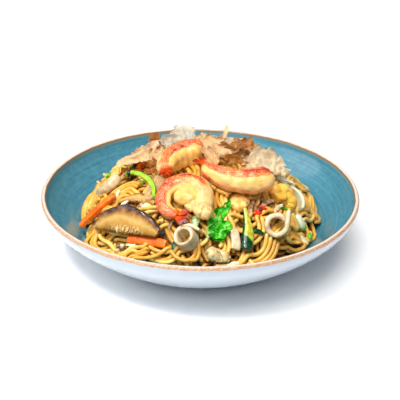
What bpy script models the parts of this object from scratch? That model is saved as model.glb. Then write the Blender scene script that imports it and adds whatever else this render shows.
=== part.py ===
"""Yakisoba in a wide coupe bowl: a mound of fried noodles with prawns, squid, mushrooms,
vegetables and bonito flakes on it.

Metres, +Z up. The origin is the middle of the bowl's foot, on the table, and the side that
faces the diner is -Y.
"""

import math
import random

import bmesh
import bpy
from mathutils import Matrix, Vector

MM = 0.001

# ---- the bowl ----
BOWL_RADIUS = 124 * MM
BOWL_HEIGHT = 52 * MM
FOOT_RADIUS = 62.6 * MM
FOOT_WIDTH = 6 * MM
FOOT_DEPTH = 2.5 * MM
FLOOR_Z = 7 * MM
WALL_AT_FOOT = 6 * MM
WALL_AT_RIM = 4 * MM
BOWL_STEPS = 48
WALL_STEPS = 7

# ---- the heap of noodles ----
HEAP_RADIUS = 92 * MM
HEAP_EDGE_Z = 28 * MM
HEAP_RISE = 46 * MM
HEAP_LUMP = 1.2 * MM
HEAP_LUMP_SPAN = 11 * MM
HEAP_CLEARANCE = 0.7 * MM

# A piece that presses into a heap keeps this gap all round it.
PRESS_GAP = 0.45 * MM

COLOURS = {
    "glaze": ((0.13, 0.36, 0.46), 0.25),
    "noodle": ((0.72, 0.48, 0.16), 0.35),
    "bonito": ((0.80, 0.62, 0.40), 0.55),
    "prawn": ((0.90, 0.36, 0.16), 0.30),
    "squid": ((0.80, 0.72, 0.55), 0.35),
    "mushroom": ((0.42, 0.27, 0.14), 0.45),
    "carrot": ((0.90, 0.22, 0.03), 0.35),
    "courgette": ((0.46, 0.56, 0.10), 0.35),
    "leaf": ((0.06, 0.40, 0.04), 0.35),
    "mussel": ((0.62, 0.48, 0.28), 0.40),
    "scallop": ((0.82, 0.50, 0.16), 0.40),
    "omelette": ((0.88, 0.58, 0.14), 0.45),
    "cabbage": ((0.80, 0.84, 0.60), 0.35),
}


# ---------------------------------------------------------------- scene and materials


def clear_scene():
    for thing in list(bpy.data.objects):
        bpy.data.objects.remove(thing, do_unlink=True)


def new_collection(name):
    group = bpy.data.collections.new(name)
    bpy.context.scene.collection.children.link(group)
    return group


def make_material(name):
    colour, roughness = COLOURS[name]
    stuff = bpy.data.materials.new(name)
    stuff.use_nodes = True
    shader = stuff.node_tree.nodes["Principled BSDF"]
    shader.inputs["Base Color"].default_value = (*colour, 1)
    shader.inputs["Roughness"].default_value = roughness
    shader.inputs["Metallic"].default_value = 0
    return stuff


def add_object(name, body, finish):
    """Turn a bmesh into a named object of the dish."""
    bmesh.ops.recalc_face_normals(body, faces=body.faces)
    mesh = bpy.data.meshes.new(name)
    body.to_mesh(mesh)
    body.free()
    mesh.materials.append(MATERIALS[finish])
    mesh.shade_smooth()
    mesh.set_sharp_from_angle(angle=math.radians(50))
    thing = bpy.data.objects.new(name, mesh)
    DISH.objects.link(thing)
    return thing


# ---------------------------------------------------------------- bowl


def outer_wall(t):
    """A point (radius, height) of the bowl's outside, from the foot at 0 to the rim at 1."""
    handles = (
        Vector((FOOT_RADIUS, 0)),
        Vector((FOOT_RADIUS + 5 * MM, 0)),
        Vector((BOWL_RADIUS - 1 * MM, 0.62 * BOWL_HEIGHT)),
        Vector((BOWL_RADIUS, BOWL_HEIGHT - WALL_AT_RIM / 2)),
    )
    weights = ((1 - t) ** 3, 3 * t * (1 - t) ** 2, 3 * t**2 * (1 - t), t**3)
    return sum((w * h for w, h in zip(weights, handles)), Vector((0, 0)))


def inner_wall(t):
    """The point of the bowl's inside that faces outer_wall(t)."""
    step = 1e-4
    along = (outer_wall(min(t + step, 1)) - outer_wall(max(t - step, 0))).normalized()
    inward = Vector((-along.y, along.x))
    thickness = WALL_AT_FOOT + (WALL_AT_RIM - WALL_AT_FOOT) * t
    return outer_wall(t) + inward * thickness


def inside_line():
    """The bowl's inside from its middle to the rim, as (radius, height) points."""
    wall = [inner_wall(i / WALL_STEPS) for i in range(WALL_STEPS + 1)]
    wall = [p for p in wall if p.y > FLOOR_Z + 1.5 * MM]
    bend = Vector((wall[0].x - 11 * MM, FLOOR_Z))
    return [Vector((0, FLOOR_Z)), bend, *wall]


def inside_height(radius):
    """Height of the bowl's inside at a radius."""
    line = inside_line()
    for low, high in zip(line, line[1:]):
        if radius <= high.x:
            share = (radius - low.x) / (high.x - low.x)
            return low.y + (high.y - low.y) * share
    return BOWL_HEIGHT


def bowl_profile():
    """Half of the bowl's section: up the inside, over the rim, down the outside, foot ring."""
    inside = inside_line()
    outside = [outer_wall(1 - i / WALL_STEPS) for i in range(WALL_STEPS + 1)]
    rim_middle = (inside[-1] + outside[0]) / 2
    across = (inside[-1] - outside[0]) / 2
    rim = []
    for turn in (45, 90, 135):
        angle = math.radians(turn)
        over = Vector((-across.y, across.x)) * -math.sin(angle)
        rim.append(rim_middle + across * math.cos(angle) + over)
    ring_inside = FOOT_RADIUS - FOOT_WIDTH
    foot = [
        Vector((ring_inside, 0)),
        Vector((ring_inside - 1.5 * MM, FOOT_DEPTH)),
        Vector((0, FOOT_DEPTH)),
    ]
    return inside + rim + outside + foot


def make_bowl():
    body = bmesh.new()
    points = [body.verts.new((p.x, 0, p.y)) for p in bowl_profile()]
    for a, b in zip(points, points[1:]):
        body.edges.new((a, b))
    bowl = add_object("bowl", body, "glaze")
    turn = bowl.modifiers.new("turned", "SCREW")
    turn.axis = "Z"
    turn.steps = BOWL_STEPS
    turn.render_steps = BOWL_STEPS
    turn.use_merge_vertices = True
    turn.merge_threshold = 0.01 * MM
    turn.use_normal_calculate = True
    return bowl


# ---------------------------------------------------------------- heap of noodles


def heap_reach(angle):
    """How far the heap spreads in a direction: its edge waves in and out."""
    return HEAP_RADIUS + 1.8 * MM * math.sin(3 * angle + 0.5) + 1.2 * MM * math.sin(7 * angle)


def heap_top(x, y):
    """Height of the heap's top at a place in plan."""
    spread = min(math.hypot(x, y) / heap_reach(math.atan2(y, x)), 1)
    lumps = HEAP_LUMP * math.sin(x / HEAP_LUMP_SPAN + 1) * math.cos(y / HEAP_LUMP_SPAN)
    return HEAP_EDGE_Z + HEAP_RISE * (1 - spread**3) + lumps * (1 - spread)


def heap_normal(x, y):
    """Direction straight out of the heap's top, over a span that leaves out its small lumps."""
    span = 8 * MM
    east = heap_top(x + span, y) - heap_top(x - span, y)
    north = heap_top(x, y + span) - heap_top(x, y - span)
    return Vector((-east, -north, 2 * span)).normalized()


def on_heap(x, y, lift):
    """A point lift above the heap, measured straight out of its top."""
    return Vector((x, y, heap_top(x, y))) + heap_normal(x, y) * lift


def make_noodle_heap():
    """A ball pulled to the shape between the heap's top and the bowl's inside."""
    body = bmesh.new()
    bmesh.ops.create_uvsphere(body, u_segments=BOWL_STEPS, v_segments=11, radius=1)
    for v in body.verts:
        spread = math.hypot(v.co.x, v.co.y)
        angle = math.atan2(v.co.y, v.co.x) if spread > 1e-6 else 0
        radius = spread * heap_reach(angle)
        x, y = radius * math.cos(angle), radius * math.sin(angle)
        above = heap_top(x, y)
        below = inside_height(radius) + HEAP_CLEARANCE
        z = above if v.co.z > 0 else below
        v.co = (x, y, z)
    return add_object("noodle_heap", body, "noodle")


# ---------------------------------------------------------------- shapes


def ring_faces(body, rings):
    """Join rings of points into one closed skin with a cap at each end."""
    corners = [[body.verts.new(p) for p in ring] for ring in rings]
    count = len(corners[0])
    for low, high in zip(corners, corners[1:]):
        for i in range(count):
            j = (i + 1) % count
            body.faces.new((low[i], low[j], high[j], high[i]))
    body.faces.new(reversed(corners[0]))
    body.faces.new(corners[-1])
    bmesh.ops.triangulate(body, faces=body.faces)


def section(kind, width, height, sides):
    """Outline of a cut across a piece: round, or a box with its corners taken off."""
    if kind == "round":
        turns = [2 * math.pi * i / sides for i in range(sides)]
        return [(width / 2 * math.cos(a), height / 2 * math.sin(a)) for a in turns]
    w, h = width / 2, height / 2
    c = 0.3 * min(w, h)
    return [
        (w, -h + c), (w, h - c), (w - c, h), (-w + c, h),
        (-w, h - c), (-w, -h + c), (-w + c, -h), (w - c, -h),
    ]


def sweep(name, finish, path, widths, heights, kind="round", sides=8, twist=0):
    """A closed body along a path. Its width lies in the plane of the path and its height
    stands out of it; both are functions of the share of the path that is passed."""
    rings = []
    last = len(path) - 1
    for i, middle in enumerate(path):
        share = i / last
        along = (path[min(i + 1, last)] - path[max(i - 1, 0)]).normalized()
        across = Vector((0, 0, 1)).cross(along).normalized()
        turn = Matrix.Rotation(math.radians(twist) * share, 3, along)
        across = turn @ across
        up = along.cross(across)
        outline = section(kind, widths(share), heights(share), sides)
        rings.append([middle + across * a + up * b for a, b in outline])
    body = bmesh.new()
    ring_faces(body, rings)
    return add_object(name, body, finish)


def between(stops):
    """A function that runs straight from stop to stop; a stop is (share, value in mm)."""

    def value(share):
        for (s0, v0), (s1, v1) in zip(stops, stops[1:]):
            if share <= s1:
                return (v0 + (v1 - v0) * (share - s0) / (s1 - s0)) * MM
        return stops[-1][1] * MM

    return value


def arc(radius, first, last, count, middle=(0, 0)):
    """Points on a circle in the XY plane, from one angle to another in degrees."""
    turns = [math.radians(first + (last - first) * i / (count - 1)) for i in range(count)]
    x, y = middle
    return [Vector((x + radius * math.cos(a), y + radius * math.sin(a), 0)) for a in turns]


def centred(path):
    middle = sum(path, Vector()) / len(path)
    return [p - middle for p in path]


def bow(length, rise, count, sag=0):
    """A shallow bow along X: it swings aside by rise and drops by sag at its ends."""
    points = []
    for i in range(count):
        s = 2 * i / (count - 1) - 1
        points.append(Vector((s * length / 2, rise * (1 - s * s), -sag * s * s)))
    return points


def lay(piece, x, y, lift, spin=0, tip=0, roll=0):
    """Lay a piece on the heap at (x, y) mm. Its own Z points out of the heap; spin turns it in
    the heap's surface from +X, tip raises its +X end and roll turns it about its own X."""
    x, y = x * MM, y * MM
    out = heap_normal(x, y)
    right = (Vector((1, 0, 0)) - out * out.x).normalized()
    stand = Matrix((right, out.cross(right), out)).transposed().to_4x4()
    turn = Matrix.Rotation(math.radians(spin), 4, "Z")
    turn = turn @ Matrix.Rotation(math.radians(-tip), 4, "Y")
    turn = turn @ Matrix.Rotation(math.radians(roll), 4, "X")
    piece.matrix_world = Matrix.Translation(on_heap(x, y, lift * MM)) @ stand @ turn
    return piece


# ---------------------------------------------------------------- seafood


def make_prawn(name, curl, tail_at, head_at, plump, fan):
    """A peeled prawn with its tail left on, curled in its own XY plane on a radius of curl mm
    between two angles. It runs from the tail fan to the thick end where the head was."""
    clockwise = head_at < tail_at
    body_arc = arc(curl * MM, tail_at, head_at, 11)
    back = (body_arc[0] - body_arc[1]).normalized()
    aside = Vector((-back.y, back.x, 0)) * (1 if clockwise else -1)
    tail = [body_arc[0] + (back * reach + aside * reach * 0.25) * MM for reach in (13, 9, 5)]
    path = centred(tail + body_arc)
    joint = len(tail) / (len(path) - 1)
    widths = between([
        (0, fan * 0.7), (0.07, fan), (0.15, 6.5), (joint, 0.62 * plump),
        (0.5, 0.86 * plump), (0.85, plump), (0.96, 0.9 * plump), (1, 0.6 * plump),
    ])
    heights = between([
        (0, 1.6), (0.07, 2.6), (0.15, 5.5), (joint, 0.58 * plump),
        (0.5, 0.78 * plump), (0.85, 0.86 * plump), (0.96, 0.76 * plump), (1, 0.5 * plump),
    ])
    return sweep(name, "prawn", path, widths, heights)


def make_squid_roll(name, start, growth, turns, thick, length, set_back, flap, leaves_at, hand):
    """A strip of squid that has rolled up in cooking: a spiral round its own Z axis whose outer
    end leaves it along a straight flap. Its turns sink back along the axis by set_back mm."""
    count = round(13 * turns) + 1
    path = []
    for i in range(count):
        share = i / (count - 1)
        angle = math.radians(leaves_at - hand * 360 * turns * (1 - share))
        radius = (start + growth * turns * share) * MM
        middle = Vector((radius * math.cos(angle), radius * math.sin(angle), 0))
        path.append(middle - Vector((0, 0, set_back * share * MM)))
    along = (path[-1] - path[-2]).normalized()
    outward = Vector((path[-1].x, path[-1].y, 0)).normalized()
    for reach in (0.33 * flap, 0.66 * flap, flap):
        path.append(path[count - 1] + (along * reach + outward * reach * 0.12) * MM)
    across = between([(0, 0.55 * thick), (0.07, thick), (0.93, thick), (1, 0.5 * thick)])
    tall = between([(0, 0.9 * length), (0.8, length), (1, 0.6 * length)])
    return sweep(name, "squid", path, across, tall, kind="box")


def face_along(piece, x, y, lift, direction, spin=0):
    """Put a piece on the heap with its own Z along a given direction."""
    aim = Vector(direction).normalized()
    side = Vector((0, 0, 1)).cross(aim).normalized()
    stand = Matrix((side, aim.cross(side), aim)).transposed().to_4x4()
    turn = Matrix.Rotation(math.radians(spin), 4, "Z")
    place = Matrix.Translation(on_heap(x * MM, y * MM, lift * MM))
    piece.matrix_world = place @ stand @ turn
    return piece


def make_seafood():
    front = make_prawn("prawn_front", 14.2, tail_at=248, head_at=-20, plump=17, fan=13)
    lay(front, -11.5, -57, lift=8.4, spin=-20)
    top = make_prawn("prawn_top", 26, tail_at=150, head_at=66, plump=23, fan=8)
    lay(top, -16.5, -22.5, lift=12.4, spin=22)
    right = make_prawn("prawn_right", 34, tail_at=226, head_at=306, plump=21, fan=8)
    lay(right, 20.5, -35.5, lift=12, spin=4)

    roll = make_squid_roll(
        "squid_roll_front", 4.1, 3.9, 1.3, thick=3.2, length=13, set_back=5, flap=3,
        leaves_at=70, hand=-1,
    )
    face_along(roll, -8.5, -78, lift=8.5, direction=(-0.41, -0.55, 0.73))
    roll = make_squid_roll(
        "squid_roll_right", 6.8, 0.8, 0.94, thick=4.4, length=11, set_back=0, flap=10,
        leaves_at=8, hand=1,
    )
    face_along(roll, 52, -56, lift=7, direction=(-0.12, -0.86, 0.5))

    curl = sweep(
        "squid_curl_left", "squid", centred(arc(12 * MM, 190, 330, 9)),
        between([(0, 2), (0.3, 7), (0.8, 9), (1, 5)]),
        between([(0, 2), (0.3, 8), (1, 9)]),
    )
    lay(curl, -69, -10, lift=5.5, spin=2, roll=-15)
    strip = sweep(
        "squid_strip", "squid", bow(14 * MM, 1 * MM, 5),
        between([(0, 6), (1, 7)]), between([(0, 3.2), (1, 3.6)]), kind="box",
    )
    lay(strip, 24, -74, lift=2.4, spin=-84)


# ---------------------------------------------------------------- looks of soft lumps


def make_lump(name, finish, length, width, height, dents, bend=0):
    """A soft lump from a coarse box cage: each cage corner is moved by a seeded share, then
    the cage is rounded by subdivision."""
    body = bmesh.new()
    bmesh.ops.create_cube(body, size=1)
    bmesh.ops.subdivide_edges(body, edges=body.edges, cuts=1, use_grid_fill=True)
    draw = random.Random(name)
    for v in body.verts:
        shift = Vector([draw.uniform(-dents, dents) for _ in range(3)])
        v.co = v.co * (1.25 - 0.25 * v.co.length) + shift
        v.co.z += bend * (0.25 - v.co.x**2)
        v.co = (v.co.x * length * MM, v.co.y * width * MM, v.co.z * height * MM)
    lump = add_object(name, body, finish)
    rounding = lump.modifiers.new("rounded", "SUBSURF")
    rounding.levels = 1
    rounding.render_levels = 1
    return lump


def make_mushrooms():
    """The big slice is cut across a shiitake cap: a crescent with its gills on the low side."""
    skin = between([(0, 4), (0.15, 13), (0.5, 21), (0.85, 15), (1, 7)])
    slab = between([(0, 3), (0.1, 6), (0.9, 6), (1, 4)])
    cap = sweep(
        "shiitake_slice", "mushroom", bow(56 * MM, 8 * MM, 11, sag=3 * MM), skin, slab,
        kind="box",
    )
    lay(cap, -52, -61, lift=6.4, spin=-14, roll=14)
    back = sweep(
        "shiitake_back", "mushroom", bow(32 * MM, 3 * MM, 7, sag=1.5 * MM),
        between([(0, 4), (0.5, 8), (1, 6)]), between([(0, 3), (0.5, 5), (1, 4)]),
    )
    lay(back, -46, -43, lift=2, spin=-20)
    lay(make_lump("mushroom_right", "mushroom", 14, 7, 7, 0.08), 43, -47, lift=1, spin=80)


# ---------------------------------------------------------------- vegetables


def make_stick(name, finish, length, width, height, rise=0.0, twist=0):
    return sweep(
        name, finish, bow(length * MM, rise * MM, 5),
        between([(0, 0.85 * width), (0.5, width), (1, 0.9 * width)]),
        between([(0, 0.85 * height), (0.5, height), (1, 0.9 * height)]),
        kind="box", twist=twist,
    )


def make_vegetables():
    lay(make_stick("carrot_left", "carrot", 37, 5.6, 4.6, 1.0, 20), -74, -29, 5.6, 12, -3)
    lay(make_stick("carrot_front", "carrot", 30, 7, 4.2, 0.6), -37.5, -72, 1.4, -12)
    lay(make_stick("carrot_back", "carrot", 16, 4.4, 4, 0.4), -43.5, 0, 3.6, 62, 4)

    strip = sweep(
        "courgette_strip", "courgette", centred(arc(36 * MM, 78, 12, 9)),
        between([(0, 3), (0.5, 4.2), (1, 3)]), between([(0, 2.4), (1, 3)]), kind="box",
    )
    lay(strip, -37.5, -34.5, lift=7.4, spin=-14)
    wedge = sweep(
        "courgette_wedge", "courgette", bow(31 * MM, 2 * MM, 7),
        between([(0, 3), (0.6, 9), (0.9, 9), (1, 6)]),
        between([(0, 3), (0.6, 6.5), (1, 5)]),
    )
    lay(wedge, 31.5, -66, lift=3.2, spin=-88)
    lay(make_lump("courgette_chunk", "courgette", 13, 6.4, 6, 0.05), -52.5, -5, 3, 58)

    leaf = make_lump("spinach_leaf", "leaf", 28, 14, 7, 0.16, bend=0.6)
    lay(leaf, 12.5, -68, lift=3.6, spin=86)
    stalk = make_stick("spinach_stalk", "leaf", 12, 3.6, 3, 1.5)
    lay(stalk, -0.5, -67.5, lift=2.4, spin=66)

    onion = sweep(
        "onion_layer", "cabbage", centred(arc(12 * MM, 150, 40, 7)),
        between([(0, 2.4), (0.5, 3), (1, 2.4)]), between([(0, 7), (0.5, 9), (1, 7)]),
        kind="box",
    )
    lay(onion, 73, -15, lift=3, spin=-62, roll=24)
    lay(make_lump("cabbage_core", "cabbage", 14, 8, 6, 0.1), 75, -34, lift=1.6, spin=-40)
    shreds = ((53, -6, 30, 24), (58, -12, 4, 14), (62, 2, 52, 6))
    for number, (x, y, spin, tip) in enumerate(shreds):
        shred = sweep(
            f"cabbage_shred_{number + 1}", "cabbage", bow(23 * MM, 2 * MM, 6),
            between([(0, 5), (0.6, 3.6), (1, 1.2)]), between([(0, 2.2), (1, 0.8)]), kind="box",
        )
        lay(shred, x, y, lift=5, spin=spin, tip=tip)


def make_other_toppings():
    lay(make_lump("mussel", "mussel", 18, 10, 8, 0.1, bend=0.4), 12.5, -84, 2.2, -16)
    lay(make_lump("squid_tentacle", "mussel", 8, 6, 6, 0.1), -57, -67.5, 1.4, 40)
    lay(make_lump("scallop", "scallop", 15, 13, 7, 0.07, bend=0.5), 28.5, -49, 0.2, 50)
    lay(make_lump("omelette_chunk", "omelette", 26, 17, 10, 0.06, bend=0.5), 59, -29, 4, -8)


# ---------------------------------------------------------------- bonito flakes


def make_flake(name, length, width, curl, waves, jag):
    """One big shaving of dried bonito: a thin sheet that curls across its length, is jagged
    along both edges and comes to a ragged point."""
    body = bmesh.new()
    bmesh.ops.create_grid(body, x_segments=7, y_segments=3, size=0.5)
    draw = random.Random(name)
    for v in body.verts:
        s, w = v.co.x + 0.5, 2 * v.co.y
        narrow = 1 - 0.7 * max(0, s - 0.4) / 0.6
        tooth = 1 + draw.uniform(-jag, jag) * abs(w)
        x = (s - 0.5) * length + draw.uniform(-jag, jag) * abs(w) * 3
        y = w * width / 2 * narrow * tooth
        z = curl * (w * w - 0.5) + waves * math.sin(5 * s + w)
        v.co = Vector((x, y, z)) * MM
    flake = add_object(name, body, "bonito")
    sheet = flake.modifiers.new("thickness", "SOLIDIFY")
    sheet.thickness = 0.8 * MM
    sheet.offset = 0
    return flake


def make_flakes():
    flake = make_flake("flake_left_point", 27, 11, 2.5, 1.2, 0.15)
    lay(flake, -46, -7, lift=12.5, spin=176, tip=4, roll=-30)
    flake = make_flake("flake_brown", 18, 12, 2.0, 1.0, 0.15)
    lay(flake, -33.5, 5, lift=17, spin=94, tip=30, roll=-8)
    flake = make_flake("flake_grey", 24, 20, 2.0, 1.5, 0.2)
    lay(flake, -14, 11, lift=16.5, spin=94, tip=30, roll=4)
    flake = make_flake("flake_tip", 18, 6, 0.8, 0.8, 0.2)
    lay(flake, 19, 17, lift=16, spin=82, tip=44)
    flake = make_flake("flake_curl", 20, 12, 3.5, 1.2, 0.2)
    lay(flake, 30, 3, lift=15.5, spin=24, tip=8, roll=34)
    flake = make_flake("flake_right_jagged", 34, 19, 3.0, 1.5, 0.25)
    lay(flake, 42, -15, lift=14, spin=8, tip=8, roll=26)


def make_bonito_heap():
    """The shavings that lie in each other behind the prawns, out to their uneven outline."""
    stops = (
        (-52, -1), (-47, 6), (-38, 12), (-27, 16), (-16, 18), (-5, 19),
        (6, 18), (17, 15), (27, 10), (36, 4), (44, -4), (50, -12),
    )
    path = [on_heap(x * MM, y * MM, 6.4 * MM) for x, y in stops]
    widths = between([(0, 8), (0.2, 17), (0.5, 24), (0.8, 20), (1, 9)])
    heights = between([(0, 8), (0.2, 14), (0.5, 18), (0.8, 15), (1, 8)])
    heap = sweep("bonito_heap", "bonito", path, widths, heights, sides=9)
    draw = random.Random("bonito")
    for v in heap.data.vertices:
        v.co += v.normal * draw.uniform(-1.8, 1.8) * MM
    return heap


# ---------------------------------------------------------------- pressing into the heaps


def swollen_copy(piece, gap):
    """A cutter: the piece as it stands, grown by the gap on every side."""
    bpy.context.view_layer.update()
    depsgraph = bpy.context.evaluated_depsgraph_get()
    mesh = bpy.data.meshes.new_from_object(piece.evaluated_get(depsgraph))
    mesh.transform(piece.matrix_world)
    shell = bmesh.new()
    shell.from_mesh(mesh)
    shell.normal_update()
    moves = [(v, v.normal * gap * min(v.calc_shell_factor(), 1.6)) for v in shell.verts]
    for v, move in moves:
        v.co += move
    shell.to_mesh(mesh)
    shell.free()
    cutter = bpy.data.objects.new("press_" + piece.name, mesh)
    cutter.hide_render = True
    cutter.display_type = "WIRE"
    CUTTERS.objects.link(cutter)
    return cutter


def press_into(heap, pieces):
    for piece in pieces:
        cut = heap.modifiers.new("room for " + piece.name, "BOOLEAN")
        cut.object = swollen_copy(piece, PRESS_GAP)
        cut.operation = "DIFFERENCE"
        cut.solver = "MANIFOLD"


clear_scene()
DISH = new_collection("yakisoba")
CUTTERS = new_collection("cutters")
MATERIALS = {name: make_material(name) for name in COLOURS}

make_bowl()
make_seafood()
make_mushrooms()
make_vegetables()
make_other_toppings()
make_flakes()
toppings = [thing for thing in DISH.objects if thing.name != "bowl"]

bonito = make_bonito_heap()
noodles = make_noodle_heap()
press_into(noodles, [*toppings, bonito])
press_into(bonito, toppings)
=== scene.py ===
"""Looks of the yakisoba: glazed bowl, noodles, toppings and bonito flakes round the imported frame.

Sizes named here are in mm, and MM turns them into Blender's metres. +Z is up and the diner sits
at -Y.
"""

import math
import random

import bpy
import numpy as np
from mathutils import Matrix, Vector, noise
from mathutils.bvhtree import BVHTree


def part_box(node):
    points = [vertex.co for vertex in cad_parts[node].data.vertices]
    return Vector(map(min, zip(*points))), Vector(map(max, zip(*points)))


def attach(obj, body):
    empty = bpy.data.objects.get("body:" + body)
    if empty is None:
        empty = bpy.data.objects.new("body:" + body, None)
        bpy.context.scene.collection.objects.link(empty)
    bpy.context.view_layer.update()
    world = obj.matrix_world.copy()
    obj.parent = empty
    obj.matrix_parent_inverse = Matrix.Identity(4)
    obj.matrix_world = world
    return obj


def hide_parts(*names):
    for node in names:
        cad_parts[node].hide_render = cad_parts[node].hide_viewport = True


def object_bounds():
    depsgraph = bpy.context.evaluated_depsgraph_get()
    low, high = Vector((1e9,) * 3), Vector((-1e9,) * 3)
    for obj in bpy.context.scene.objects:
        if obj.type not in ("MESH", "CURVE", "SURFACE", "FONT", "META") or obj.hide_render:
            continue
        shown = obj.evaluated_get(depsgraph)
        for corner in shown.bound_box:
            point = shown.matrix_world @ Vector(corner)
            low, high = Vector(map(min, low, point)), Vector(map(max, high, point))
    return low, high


MM = 0.001

# noise_vector starts from the clock unless it is seeded, and each run has to give one result.
noise.seed_set(21)

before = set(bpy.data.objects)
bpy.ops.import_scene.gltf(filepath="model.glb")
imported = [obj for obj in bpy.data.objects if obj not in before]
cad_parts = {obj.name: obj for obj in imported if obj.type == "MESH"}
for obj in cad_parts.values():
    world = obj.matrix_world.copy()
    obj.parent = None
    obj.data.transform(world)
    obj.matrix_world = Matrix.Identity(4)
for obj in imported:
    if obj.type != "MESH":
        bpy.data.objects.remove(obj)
cad_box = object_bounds()

# ---- the bowl, as in the CAD ----
BOWL_RADIUS = (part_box("bowl")[1].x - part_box("bowl")[0].x) / 2 / MM
BOWL_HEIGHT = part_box("bowl")[1].z / MM
FOOT_RADIUS = 62.6
FOOT_WIDTH = 6
FOOT_DEPTH = 2.5
FLOOR_Z = 7
WALL_AT_FOOT = 6
WALL_AT_RIM = 4

# ---- the heap of noodles, as in the CAD ----
HEAP_RADIUS = 92
HEAP_EDGE_Z = 28
HEAP_RISE = 46
HEAP_LUMP = 1.2
HEAP_LUMP_SPAN = 11

# ---- noodles ----
NOODLE_WIDTH = 3.1
STRAND_GAP = 3.35
STRAND_STEP = 1.25
NOODLE_SIDES = 8
CORE_DEPTH = 13
BED_HALF = 112
BED_CELL = 0.75


# ---------------------------------------------------------------- material graphs


class Graph:
    """A material under construction: each method adds a node and gives back its output."""

    def __init__(self, name):
        self.material = bpy.data.materials.new(name)
        self.material.use_nodes = True
        self.nodes = self.material.node_tree.nodes
        self.links = self.material.node_tree.links
        self.nodes.clear()

    def put(self, socket, value):
        if isinstance(value, bpy.types.NodeSocket):
            self.links.new(value, socket)
        elif isinstance(value, tuple) and len(value) == 3 and socket.type == "RGBA":
            socket.default_value = (*value, 1)
        else:
            socket.default_value = value

    def add(self, kind, settings=None, **inputs):
        node = self.nodes.new("ShaderNode" + kind)
        for key, value in (settings or {}).items():
            setattr(node, key, value)
        for key, value in inputs.items():
            self.put(node.inputs[key.replace("_", " ")], value)
        return node

    def where(self, scale=(1, 1, 1)):
        """Place on the piece, in mm, stretched by scale."""
        place = self.add("TexCoord").outputs["Object"]
        size = tuple(s / MM for s in scale)
        return self.add("Mapping", Vector=place, Scale=size).outputs[0]

    def attribute(self, name):
        return self.add("Attribute", {"attribute_name": name}).outputs["Fac"]

    def vector(self, x, y, z=0.0):
        return self.add("CombineXYZ", X=x, Y=y, Z=z).outputs[0]

    def noise(self, vector, scale, detail=3.0, roughness=0.55, distortion=0.0):
        node = self.add(
            "TexNoise", Vector=vector, Scale=scale, Detail=detail, Roughness=roughness,
            Distortion=distortion,
        )
        return node.outputs["Fac"]

    def spots(self, vector, scale, randomness=1.0):
        """Distance to the nearest of many scattered points."""
        node = self.add("TexVoronoi", Vector=vector, Scale=scale, Randomness=randomness)
        return node.outputs["Distance"]

    def math(self, operation, a, b=0.0, c=0.0, clamp=False):
        node = self.add("Math", {"operation": operation, "use_clamp": clamp})
        for socket, value in zip(node.inputs, (a, b, c)):
            self.put(socket, value)
        return node.outputs[0]

    def span(self, value, low, high, to_low=0.0, to_high=1.0, smooth=True):
        """Share of the way from low to high, clamped."""
        node = self.add("MapRange", {"interpolation_type": "SMOOTHSTEP" if smooth else "LINEAR"})
        for socket, number in zip(node.inputs, (value, low, high, to_low, to_high)):
            self.put(socket, number)
        return node.outputs[0]

    def band(self, value, middle, half, soft):
        """1 within half of the middle, fading out over soft."""
        off = self.math("ABSOLUTE", self.math("SUBTRACT", value, middle))
        return self.span(off, half + soft, half)

    def ramp(self, value, *stops):
        node = self.add("ValToRGB", Fac=value)
        marks = node.color_ramp.elements
        while len(marks) < len(stops):
            marks.new(1)
        for mark, (place, colour) in zip(marks, stops):
            mark.position = place
            mark.color = (*colour, 1)
        return node.outputs["Color"]

    def mix(self, share, a, b, blend="MIX"):
        node = self.add("Mix", {"data_type": "RGBA", "blend_type": blend})
        for socket, value in zip((node.inputs[0], node.inputs[6], node.inputs[7]), (share, a, b)):
            self.put(socket, value)
        return node.outputs[2]

    def bump(self, height, distance, strength=1.0, normal=None):
        """Relief whose full height is distance mm."""
        node = self.add("Bump", Height=height, Distance=distance * MM, Strength=strength)
        if normal is not None:
            self.put(node.inputs["Normal"], normal)
        return node.outputs["Normal"]

    def principled(self, colour, roughness, **inputs):
        node = self.add("BsdfPrincipled", Base_Color=colour, Roughness=roughness)
        for key, value in inputs.items():
            self.put(node.inputs[key.replace("_", " ")], value)
        return node.outputs[0]

    def finish(self, surface):
        output = self.nodes.new("ShaderNodeOutputMaterial")
        self.links.new(surface, output.inputs["Surface"])
        return self.material


def rgb(red, green, blue):
    """A colour named by its 0 to 255 screen values, as the linear light that shaders use."""

    def linear(value):
        value /= 255
        return value / 12.92 if value <= 0.04045 else ((value + 0.055) / 1.055) ** 2.4

    return (linear(red), linear(green), linear(blue))


# ---------------------------------------------------------------- meshes


def loft_faces(rings, sides, start=0, closed=True, capped=True):
    """Quads between rings of points that are numbered from start, and caps on the ends."""
    faces = []
    for i in range(rings - 1):
        low = start + i * sides
        for j in range(sides if closed else sides - 1):
            k = (j + 1) % sides
            faces.append((low + j, low + k, low + sides + k, low + sides + j))
    if capped:
        faces.append(tuple(range(start + sides - 1, start - 1, -1)))
        top = start + (rings - 1) * sides
        faces.append(tuple(range(top, top + sides)))
    return faces


def add_piece(name, points, faces, material, attributes=None, smooth_angle=60):
    """A mesh piece from points in mm in the row frame."""
    mesh = bpy.data.meshes.new(name)
    mesh.from_pydata((np.asarray(points, float) * MM).tolist(), [], faces)
    for key, values in (attributes or {}).items():
        layer = mesh.attributes.new(key, "FLOAT", "POINT")
        layer.data.foreach_set("value", np.asarray(values, np.float32).ravel())
    mesh.materials.append(material)
    mesh.shade_smooth()
    mesh.set_sharp_from_angle(angle=math.radians(smooth_angle))
    piece = bpy.data.objects.new(name, mesh)
    bpy.context.scene.collection.objects.link(piece)
    return piece


def keep(piece, slot, *nodes):
    """Every piece rides on the one body, has a material slot and may stand for CAD nodes. The slot argument is not
    used.
    """
    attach(piece, "root")
    if nodes:
        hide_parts(*nodes)
    return piece


# ---------------------------------------------------------------- bowl


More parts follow.
